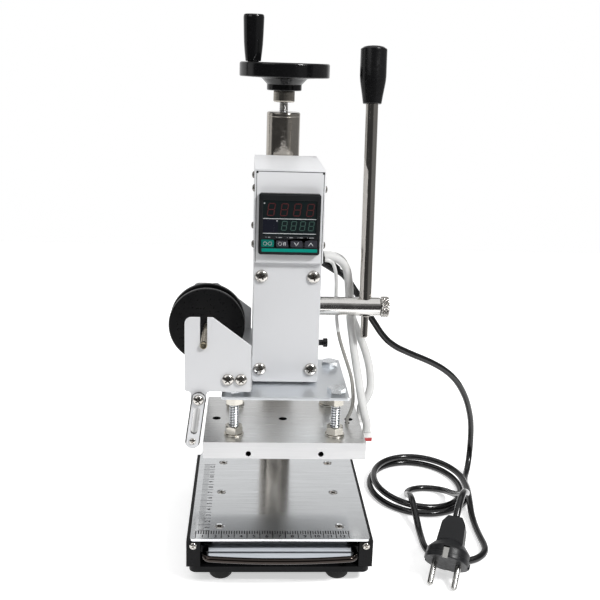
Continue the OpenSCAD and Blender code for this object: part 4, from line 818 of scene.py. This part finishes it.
def cross_recess(mesh, length, width, top, depth, surface):
    """Cuts a cross recess and marks its faces."""
    for turn in (0, 90):
        bm = blade(length, width, top, depth)
        bmesh.ops.rotate(bm, matrix=Matrix.Rotation(math.radians(turn), 3, "Z"), verts=bm.verts)
        mesh = cut(mesh, mesh_from(bm, "blade"))
    smooth(mesh, 30)
    # These marks darken the cross recess in the screw's finish: painted shade.
    marks = mesh.attributes.new("recess", "FLOAT", "FACE")
    for f in mesh.polygons:
        c = f.center / MM
        r = math.hypot(c.x, c.y)
        if r < 0.55 * length and top - depth - 0.1 < c.z < surface(r) - 0.06:
            marks.data[f.index].value = 1
    return mesh


def pan_screw(head_d, head_h, shank_d, shank_l):
    shank, rim = shank_d / 2, head_d / 2
    profile = [(0, -shank_l), (shank, -shank_l), (shank, 0), (rim, 0), (rim, DOME_FOOT * head_h)]
    for k in range(1, DOME_STEPS):
        a = math.pi / 2 * k / DOME_STEPS
        profile.append((rim * math.cos(a), dome_height(head_h, math.sin(a))))
    profile.append((0, head_h))

    def surface(r):
        return dome_height(head_h, math.sqrt(max(0, 1 - (r / rim) ** 2)))

    return cross_recess(turned(profile, 40), 0.74 * head_d, 0.115 * head_d, head_h, 0.42 * head_h, surface)


def flush_screw(head_d, head_h, shank_d, shank_l):
    shank, rim = shank_d / 2, head_d / 2
    profile = [(0, -shank_l), (shank, -shank_l), (shank, -head_h)]
    profile += [(rim, -0.9), (rim, -0.7), (rim - 0.8, 0), (0, 0)]
    return cross_recess(turned(profile, 40), 0.66 * head_d, 0.2 * head_d, 0, 1.5, lambda r: 0.0)


def hexagon(af, low, high, bevel_low, bevel_high, bore=0.0):
    """A hexagon prism whose corners are turned off at the ends, with a bore if it is a nut."""
    n = 72
    flat = af / 2 * 0.96
    rows = []
    for k in range(n):
        a = 2 * math.pi * k / n
        reach = af / 2 / math.cos((a % (math.pi / 3)) - math.pi / 6)
        fall = (reach - flat) * math.tan(math.radians(28))
        line = [(flat if bevel_low else reach, low), (reach, low + (fall if bevel_low else 0)),
                (reach, high - (fall if bevel_high else 0)), (flat if bevel_high else reach, high)]
        if bore:
            line = [(bore, low)] + line + [(bore, high), (bore, low)]
        rows.append([polar(r, k / n, z) for r, z in line])
    bm = loft(list(zip(*rows)), not bore)
    bmesh.ops.remove_doubles(bm, verts=bm.verts, dist=1e-7)
    bmesh.ops.dissolve_degenerate(bm, edges=bm.edges, dist=1e-7)
    bmesh.ops.recalc_face_normals(bm, faces=bm.faces)
    return smooth(mesh_from(bm, "hexagon"), 22)


def mark_valleys(mesh, radius, depth, gain, low=-math.inf, high=math.inf):
    """Marks how low each face lies in a thread or a knurl between two heights."""
    # These marks darken the valleys in the finish: painted shade.
    marks = mesh.attributes.new("recess", "FLOAT", "FACE")
    for f in mesh.polygons:
        c = f.center / MM
        if low < c.z < high:
            fall = (radius - math.hypot(c.x, c.y)) / depth
            marks.data[f.index].value = min(1, max(0, gain * fall - gain + 1))
    return mesh


def saw(x):
    """Falls from 1 to 0 and rises again in each step of 1."""
    return abs(2 * (x % 1) - 1)


def screw_thread(radius, pitch, depth, low, high, segments, steps):
    """A round rod with a thread, standing on its axis."""
    rings = []
    count = max(2, round((high - low) / pitch * steps))
    for i in range(count + 1):
        z = low + (high - low) * i / count
        turns = [k / segments for k in range(segments)]
        rings.append([polar(radius - depth * saw(z / pitch - t), t, z) for t in turns])
    mesh = smooth(mesh_from(loft(rings), "thread"), 70)
    return mark_valleys(mesh, radius, depth, 1.6)


def knurled(radius, low, high, depth, starts, lean, segments, rows):
    """A round grip with a diamond knurl, or straight ribs where lean is 0."""
    chamfer = 0.7
    turns = [k / segments for k in range(segments)]
    rings = [[polar(radius - chamfer, t, low) for t in turns]]
    for i in range(rows + 1):
        z = low + chamfer + (high - low - 2 * chamfer) * i / rows
        valleys = [max(saw(starts * t + lean * z), saw(starts * t - lean * z)) for t in turns]
        rings.append([polar(radius - depth * v, t, z) for t, v in zip(turns, valleys)])
    rings.append([polar(radius - chamfer, t, high) for t in turns])
    mesh = smooth(mesh_from(loft(rings), "knurled"), 50)
    return mark_valleys(mesh, radius, depth, 1.7, low + chamfer, high - chamfer)


# Sheet metal, machined and moulded pieces: finish, round of the edges in mm, segments of the round
for node, how in {
    "base_plate": ("black_paint", 1.2, 3), "side_rails": ("black_paint", 0.8),
    "column_flange": ("rail_aluminium", 0.4), "table_riser": ("riser_paint", 0.4),
    "work_plate": ("work_steel", 0.25), "head_body": ("white_paint", 0.5),
    "front_cover": ("cover_paint", 0.5), "control_box": ("white_paint", 0.5),
    "controller_bezel": ("bezel_plastic", 0.3), "foil_bar": ("bar_aluminium", 0.4),
    "ram": ("ground_steel", 0.15, 1), "ram_plate": ("plate_zinc", 0.3), "handwheel": ("gloss_black", 0.3),
    "cord_gland": ("cord_rubber", 0.3), "column": ("nickel", 0.3), "column_cap": ("nickel", 0.4),
    # table_handle: painted reflection, its chrome coloured dark brown.
    "table_handle": ("handle_chrome", 0.2), "crank_grip": ("gloss_black", 0.3), "crank_pin": ("zinc", 0.2),
    "pinion_shaft": ("shaft_chrome", 0.2), "pinion": ("ground_steel", 0.1, 1),
    "lever_rod": ("lever_chrome", 0.25), "lever_knob": ("knob_black", 0.3),
    "ram_lock_screw": ("black_screw", 0.3), "flange_screws": ("black_screw", 0.3),
    "foot_screws": ("zinc", 0.2, 1), "feet": ("feet_rubber", 0.4), "lead_bushes": ("feet_rubber", 0.4),
    "lift_nut": ("brass", 0.2, 1), "controller_case": ("matt_black", 0.3, 1),
    "key_set": ("teal_key", 0.12), "key_shift": ("key_plastic", 0.12), "key_down": ("key_plastic", 0.12),
    "key_up": ("key_plastic", 0.12),
}.items():
    dress(node, *how)

block = dress("heater_block", "block_aluminium", 0.35)
# Painted shade: the block's front and under faces get darker copies of the aluminium, and its hole walls get
# groove_shadow.
recolour(block, "block_face", lambda c, n: n.y < -0.7 and c.y < BLOCK_FRONT + 0.1)
recolour(block, "block_under", lambda c, n: n.z < -0.7)
recolour(block, "groove_shadow", lambda c, n: abs(n.z) < 0.3 and abs(c.x - HEAD_X) < 60 and -80 < c.y < 10)
brackets = dress("foil_brackets", "cover_paint", 0.3)
# Painted shade: the rear bracket's front faces get a darker grey paint.
recolour(brackets, "shaded_paint", lambda c, n: c.y > 0 and n.y < -0.5)
arms = dress("guide_arms", "arm_paint", 0.6)
# Painted shade: the arms' sides and edge rounds are dark.
recolour(arms, "arm_edge", lambda c, n: abs(n.y) < 0.97)
spool = dress("spool_flanges", "spool_black", 0.6, 1)
# Painted highlight: a bright metal line round the front flange's front edge.
recolour(spool, "spool_edge", lambda c, n: c.y < -29.5 and math.hypot(c.x - SPOOL_X, c.z - SPOOL_Z) > 31)

# Sliding table: bright front with a groove between two bands, black ends
SLIDER_BRIGHT = 55.75
GROOVE_LOW, GROOVE_HIGH = 25.7, 26.25
groove = boxes(((-80, -119, GROOVE_LOW), (80, -117.55, GROOVE_HIGH)))
slider_shape = softened(cut(node_mesh("table_slider"), groove), 0.2)
slider = stand_in("table_slider", "_dressed", slider_shape, "rail_aluminium")
recolour(slider, "black_paint", lambda c, n: abs(c.x) > SLIDER_BRIGHT)
recolour(slider, "groove_shadow",
         lambda c, n: abs(c.x) < SLIDER_BRIGHT and GROOVE_LOW < c.z < GROOVE_HIGH and c.y < -117)

# Box front: seams where the folded shell meets the panel, and open corners
gaps = [
    ((-23.4, -53, 243), (-22.95, -51.3, 315.6)), ((28.95, -53, 243), (29.4, -51.3, 315.6)),
    ((-23.4, -53, 315.1), (29.4, -51.3, 315.65)),
    ((-23.6, -53, 313.9), (-21.9, -50.9, 315.7)), ((27.9, -53, 313.9), (29.6, -50.9, 315.7)),
]


def in_gap(c, low, high, slack=0.02):
    across = low[0] - slack <= c.x <= high[0] + slack
    upward = low[2] - slack <= c.z <= high[2] + slack
    return across and upward and -51.97 < c.y < -50


panel_shape = softened(node_mesh("box_front"), 0.3)
for gap in gaps:
    panel_shape = cut(panel_shape, boxes(gap))
panel = stand_in("box_front", "_dressed", panel_shape, "white_paint")
recolour(panel, "groove_shadow", lambda c, n: any(in_gap(c, *gap) for gap in gaps))


# Screws
def seats(node, axis, head_h, spins, middle):
    """Where the heads of a node's screws sit: past the middle they face along their axis, else back."""
    spots = []
    for i, (low, high) in enumerate(solids(node)):
        mid = (low + high) / 2
        s = 1 if mid[axis] > middle else -1
        mid[axis] = (high if s > 0 else low)[axis] - s * head_h
        way = Vector((0, 0, 0))
        way[axis] = s
        spots.append((mid, way, spins[i % len(spins)]))
    return spots


FOIL_MIDDLE = -20
for node, sizes, axis, spins, middle, finish in (
    ("cover_screws", (10.5, 3, 5, 10), 1, (12, 28, 52, 20), math.inf, "screw_nickel"),
    ("bracket_screws", (9.5, 3, 5, 10), 1, (38, 10, 50, 22), FOIL_MIDDLE, "screw_nickel"),
    ("pivot_screws", (8.8, 3.1, 4, 5), 1, (30, 5), FOIL_MIDDLE, "screw_nickel"),
    ("rail_screws", (6, 1.8, 3, 7), 1, (35, 60), math.inf, "screw_nickel"),
    ("box_screws", (6, 2, 3, 3.6), 0, (20, 65, 41), HEAD_X, "dark_steel"),
):
    set_of(node, pan_screw(*sizes), seats(node, axis, sizes[1], spins, middle), finish)

ROD_FRONT, ROD_BACK, ROD_R = -82.3, 31.3, 2.7
rod_shape = smooth(turned([(0, ROD_FRONT), (ROD_R, ROD_FRONT), (ROD_R, ROD_BACK), (0, ROD_BACK)], 32))
rod_ends = [(GUIDE_FOOT + 85 * FRONT, FRONT, 32), (GUIDE_FOOT + 34 * REAR, REAR, 12)]
rod_screws = spread(pan_screw(5.4, 1.4, 3.2, 2.9), rod_ends, "screw_nickel")
rod_shape = joined(moved(rod_shape, GUIDE_FOOT, REAR), rod_screws)
rod = stand_in("guide_rod", "_screwed", rod_shape, "screw_nickel")
recolour(rod, "rod_bright", lambda c, n: ROD_FRONT + 0.1 < c.y < ROD_BACK - 0.1 and abs(n.y) < 0.5)
plate_seats = seats("plate_screws", 2, 0, (40, 12, 30, 66), -math.inf)
set_of("plate_screws", flush_screw(7.5, 2.2, 4, 8), plate_seats, "screw_nickel")

# Stand-off bolts with their nuts and washers
NUT_AF = 13
BOLT_SEAT, UPPER_NUT, LOWER_NUT, WASHER_SEAT = 140.5, 131.5, 106.1, 104.5
bolt = joined(hexagon(NUT_AF, 0, 5.3, False, True), screw_thread(4, 2.2, 0.8, -43.5, -2.4, 28, 12),
              screw_thread(3.9, 1.25, 0.4, -2.6, 0.1, 24, 1))
nut = hexagon(NUT_AF, 0, 6.5, True, True, 4.1)
washer = smooth(turned([(4.3, 0), (7.7, 0), (8, 0.3), (8, 1.3), (7.7, 1.6), (4.3, 1.6), (4.3, 0)], 48))
posts = [(low + high) / 2 for low, high in solids("standoff_bolts")]


def on_posts(z, spins, extra=0):
    return [((p.x, p.y, z), UP, s + extra) for p, s in zip(posts, spins)]


BOLT_SPINS, LOWER_SPINS = (14, 41, 52, 27), (33, 8, 19, 48)
set_of("standoff_bolts", bolt, on_posts(BOLT_SEAT, BOLT_SPINS), "thread_zinc")
nut_spots = on_posts(UPPER_NUT, BOLT_SPINS, 22) + on_posts(LOWER_NUT, LOWER_SPINS, 7)
washer_spots = on_posts(WASHER_SEAT, (0, 0, 0, 0))
nuts = joined(spread(nut, nut_spots, "warm_zinc"), spread(washer, washer_spots, "warm_zinc"))
stand_in("standoff_nuts", "_set", nuts, "warm_zinc")

# Threaded and knurled pieces
lift_foot = [(0, 148), (3.4, 148), (4, 148.6), (4, 329.7), (8, 329.7), (8, 335.7)]
lift_foot += [(4, 335.7), (4, 345), (0, 345)]
lift_top = [(0, 363), (4, 363), (4, 390.2), (3.6, 390.6), (0, 390.6)]
lift_screw = joined(turned(lift_foot, 40), screw_thread(4, 1.6, 0.6, 345, 363, 32, 10), turned(lift_top, 40))
stand_in("lead_screw", "_threaded", moved(smooth(lift_screw, 60), COLUMN_AXIS), "ground_steel")
collar = knurled(9.5, 362.6, 372.6, 0.16, 46, 0, 368, 6)
stand_in("wheel_collar", "_ribbed", moved(collar, COLUMN_AXIS), "collar_nickel")
clamp_stem = smooth(turned([(0, -6.85), (3, -6.85), (3, 0.4), (0, 0.4)], 32))
clamp_screw = joined(knurled(9, 0.3, 7.0, 0.7, 22, 0.36, 352, 32), clamp_stem)
stand_in("lever_clamp_screw", "_knurled", moved(clamp_screw, CLAMP_SEAT, (1, 0, 0)), "knurl_nickel")

SPOOL_ROD_R, SPOOL_PLAIN = 2.72, 4
rod_low, rod_high = solids("spool_rod")[0]
rod_l = rod_high.y - rod_low.y
spool_parts = [screw_thread(SPOOL_ROD_R, 3.0, 0.6, SPOOL_PLAIN, rod_l - SPOOL_PLAIN, 20, 14)]
for end, way in ((0, 1), (rod_l, -1)):
    shoulder, inner = end + 0.5 * way, end + SPOOL_PLAIN * way
    profile = [(0, end), (2.3, end), (SPOOL_ROD_R, shoulder), (SPOOL_ROD_R, inner), (0, inner)]
    spool_parts.append(smooth(turned(profile, 28)))
spool_shape = moved(joined(*spool_parts), (SPOOL_X, rod_low.y, SPOOL_Z), REAR)
spool_bar = stand_in("spool_rod", "_threaded", spool_shape, "rod_thread")
recolour(spool_bar, "rod_end",
         lambda c, n: c.y < rod_low.y + SPOOL_PLAIN or c.y > rod_high.y - SPOOL_PLAIN)

# Heaters with their sleeve ends
dress("heater_cartridges", "boot_sleeve", 0.6, 3)

# Mains plug: dark body, bright pins and earth springs
PIN_START, SPRING_BACK, SPRING_OUT = 39.05, 35, 15.6
plug_shape = stand_in("plug", "_dressed", softened(node_mesh("plug"), 0.25), "plug_plastic")
recolour(plug_shape, "pin_nickel", lambda c, n: (plug_end - c).dot(plug_back) > PIN_START)
plug_side = Vector((math.sin(PLUG_HEADING), -math.cos(PLUG_HEADING), 0))
plug_face = plug_side.cross(plug_back)
plug_turn = Matrix((plug_side, plug_face, plug_back)).transposed().to_4x4()
springs = []
for side in (-1, 1):
    spring = boxes(((-2.2, -0.3, -4.2), (2.2, 0.3, 4.2)))
    spring_place = plug_end - SPRING_BACK * plug_back + side * SPRING_OUT * plug_face
    spring.transform(Matrix.Translation(spring_place * MM) @ plug_turn)
    springs.append(spring)
plug_springs = piece("plug_springs", joined(*springs), "pin_nickel", body_of["plug"])


# Controller: display, lines, marks on the keys and the strip under them
def segment_digit(width, height, thick, lean):
    """Seven bars of a figure, leaning to the right."""
    half, mid, gap = thick / 2, height / 2, 0.14 * thick

    def bar(a, b, c):
        low, high = c - half, c + half
        return [(a, c), (a + half, low), (b - half, low), (b, c), (b - half, high), (a + half, high)]

    outlines = [bar(half + gap, width - half - gap, z) for z in (half, mid, height - half)]
    for x in (half, width - half):
        for a, b in ((half + gap, mid - gap), (mid + gap, height - half - gap)):
            outlines.append([(across, up) for up, across in bar(a, b, x)])
    bm = bmesh.new()
    for outline in outlines:
        leaning = [(x + lean * z / height, z) for x, z in outline]
        loft([[(x * MM, z * MM, y * MM) for x, z in leaning] for y in (0, PRINT_THICK)], bm=bm)
    return mesh_from(bm, "digit")


def face_bars(face, *bars):
    """Thin bars of (x0, z0, x1, z1) on a face of the controller."""
    return boxes(*[((x0, face - PRINT_THICK, z0), (x1, face, z1)) for x0, z0, x1, z1 in bars])


def figures(xs, z, finish, *sizes):
    """A row of equal figures on the display."""
    return spread(segment_digit(*sizes), [((x, FIGURE_FACE, z), FRONT, 0) for x in xs], finish)


def on_panel(name, mesh, finish):
    piece(name, mesh, finish, body_of["controller_bezel"])


on_panel("display_window", face_bars(WINDOW_FACE, (-17.9, 266.2, 23.9, 294.0)), "display_glass")
on_panel("display_shade", face_bars(SHADE_FACE, (-17.8, 268.4, -6.0, 279.1)), "display_shade")
red = figures((-15.05, -4.9, 5.2, 15.3), 281.7, "figure_red", 5.8, 10.1, 0.8, 1.3)
on_panel("red_figures", red, "figure_red")
green = figures((-3.75, 3.5, 10.5, 17.3), 270.4, "figure_green", 4.3, 7.6, 0.6, 1.0)
on_panel("green_figures", green, "figure_green")
lines = face_bars(FIGURE_FACE, (-17.8, 279.35, 23.8, 279.85), (-17.8, 267.75, 23.8, 268.25),
                  (-17.4, 291.2, -16.4, 291.9), (-7.4, 277.6, -6.4, 278.3))
on_panel("display_lines", lines, "print_white")
legends = ((-15.5, 0.6), (-13.6, 1.8), (-7.2, 0.6), (-5.4, 2.6), (1.2, 0.6),
           (3.0, 2.9), (9.4, 0.6), (11.0, 2.6), (17.0, 0.6), (18.6, 3.6))
legend_bars = face_bars(BEZEL_FACE, *[(x, 264.7, x + width, 265.4) for x, width in legends])
on_panel("controller_legends", legend_bars, "legend_grey")
on_panel("controller_strip", face_bars(BEZEL_FACE, (-18.4, 253.6, 25.0, 256.2)), "strip_teal")


def stroke(points, thick=0.5):
    """A thin flat line through points of the key face, (x, z) in mm."""
    bm = bmesh.new()
    for start, end in zip(points, points[1:]):
        a, b = Vector(start), Vector(end)
        d = (b - a).normalized()
        n = Vector((-d.y, d.x)) * thick / 2
        d = d * thick * 0.3
        corners = (a - d + n, a - d - n, b + d - n, b + d + n)
        depths = (KEY_FACE, KEY_FACE - PRINT_THICK)
        loft([[(c.x * MM, y * MM, c.y * MM) for c in corners] for y in depths], bm=bm)
    return mesh_from(bm, "stroke")


def ring_points(x, z, r, n=14):
    turns = [2 * math.pi * k / n for k in range(n + 1)]
    return [(x + r * math.cos(a), z + r * math.sin(a)) for a in turns]


KEY_Z = 260.1
for node, x, shapes in (
    ("key_set", -13.95, [ring_points(-1.9, 0, 1.35), ring_points(1.9, 0, 1.35), [(-0.5, 0), (0.5, 0)]]),
    ("key_shift", -2.65, [ring_points(-1.5, 0, 1.3), [(1.0, 1.0), (3.0, 1.0)], [(1.3, 1.0), (1.3, -1.2)],
                          [(2.6, 1.0), (2.6, -1.2)]]),
    ("key_down", 8.65, [[(-1.6, 1.2), (0, -1.3), (1.6, 1.2)]]),
    ("key_up", 19.95, [[(-1.6, -1.2), (0, 1.3), (1.6, -1.2)]]),
):
    icon = joined(*[stroke([(x + a, KEY_Z + b) for a, b in line]) for line in shapes])
    piece(node + "_icon", icon, "print_white", body_of[node])


# Ruler on the work plate
def tick_row(count, **sizes):
    """A row of ticks, from sizes in mm."""
    sizes = {label: tuple(Vector(v) * MM) for label, v in sizes.items()}
    host, ink = bpy.data.meshes.new("ticks"), FINISHES["ruler_ink"].mat
    return TICK_ROW.grow(host, Count=count, Finish=ink, **sizes)


def number(n, size, place, turn=0.0):
    """A number as a thin mesh lying on the plate."""
    curve = bpy.data.curves.new("number", "FONT")
    curve.body = str(n)
    curve.size = size * MM
    curve.align_x = "CENTER"
    curve.align_y = "CENTER"
    curve.extrude = 0.008 * MM
    curve.offset = 0.1 * MM
    curve.resolution_u = 3
    mesh = evaluated_mesh(linked("number", curve))
    mesh.transform(Matrix.Translation(Vector(place) * MM) @ Matrix.Rotation(math.radians(turn), 4, "Z"))
    return mesh


ruler = [
    tick_row(61, Start=(-66, -109.6, PLATE_TOP), Step=(2, 0, 0), Size=(0.8, 5.0, PRINT_THICK)),
    tick_row(13, Start=(-66, -112.7, PLATE_TOP), Step=(10, 0, 0), Size=(0.6, 10.8, PRINT_THICK)),
    tick_row(61, Start=(-62.4, -107, PLATE_TOP), Step=(0, 2, 0), Size=(5.0, 0.4, PRINT_THICK)),
    tick_row(13, Start=(-60.2, -107, PLATE_TOP), Step=(0, 10, 0), Size=(10.0, 0.6, PRINT_THICK)),
]
for n in range(1, 13):
    ruler.append(number(n, 5.2, (10 * n + (-70.6 if n < 10 else -71.2), -115.6, PLATE_TOP)))
for n in range(1, 13):
    ruler.append(number(n, 5.4, (-57.4, -112 + 10 * n, PLATE_TOP), 90))
piece("plate_ruler", joined(*ruler), "ruler_ink", body_of["work_plate"])


# Studio
def studio_floor():
    f = Finish("floor_paper", (0.9, 0.9, 0.9), 0.7, 0.0, Emission_Color=(1, 1, 1, 1), Emission_Strength=0.55)
    f.tint(f.ranged(f.noise(3, 2), 0.0, 0.2), (0.88, 0.88, 0.885))
    bm = bmesh.new()
    bm.faces.new([bm.verts.new(p) for p in rectangle(-900, -420, 900, 1200, 0)])
    floor = piece("studio_floor", mesh_from(bm, "studio_floor"), "floor_paper", None)
    floor.location.z = -0.0002


def studio_room():
    """White paper behind the machine, and a grey room with bright and dark walls in its reflections."""
    world = bpy.data.worlds.new("studio_light")
    scene.world = world
    world.use_nodes = True
    s = Shader(world.node_tree)
    paper, result = (s.tree.nodes[name] for name in ("Background", "World Output"))
    paper.inputs["Color"].default_value = (1, 1, 1, 1)
    way = s.node("ShaderNodeTexCoord").outputs["Generated"]
    across, side, lift = s.node("ShaderNodeSeparateXYZ", Vector=way).outputs

    def ramp(value, start, stop, low, high):
        return s.ranged(value, low, high, start, stop, "SMOOTHSTEP")

    left = ramp(side, -0.1, 0.06, 0.07, 0.75)
    left = ramp(side, 0.4, 0.46, ramp(side, 0.3, 0.36, left, 0.12), 1.0)
    right = ramp(side, 0.62, 0.92, ramp(side, -0.97, -0.78, 0.07, 0.28), 1.0)
    walls = ramp(across, -0.2, 0.2, left, right)
    shelf = ramp(lift, 0.45, 0.53, walls, 0.24)
    room = s.node("ShaderNodeBackground", Strength=ramp(lift, 0.72, 0.82, shelf, 1.2))
    seen = s.node("ShaderNodeLightPath").outputs["Is Camera Ray"]
    pick = s.node("ShaderNodeMixShader", Fac=seen)
    s.put(pick.inputs[1], room.outputs["Background"])
    s.put(pick.inputs[2], paper.outputs["Background"])
    s.put(result.inputs["Surface"], pick.outputs["Shader"])


def studio_lamp(name, place, size, power):
    data = bpy.data.lights.new(name, "AREA")
    data.energy = power
    data.size = size
    lamp = linked(name, data)
    lamp.location = place
    lamp.rotation_euler = (Vector((0, 0, 0.2)) - Vector(place)).to_track_quat("-Z", "Y").to_euler()
    lamp.visible_camera = False


studio_floor()
studio_room()
studio_lamp("key_light", (0.85, -0.85, 1.25), size=0.3, power=20)
studio_lamp("fill_light", (-1.0, -0.9, 1.2), size=1.0, power=4)
scene.view_settings.view_transform = "Standard"
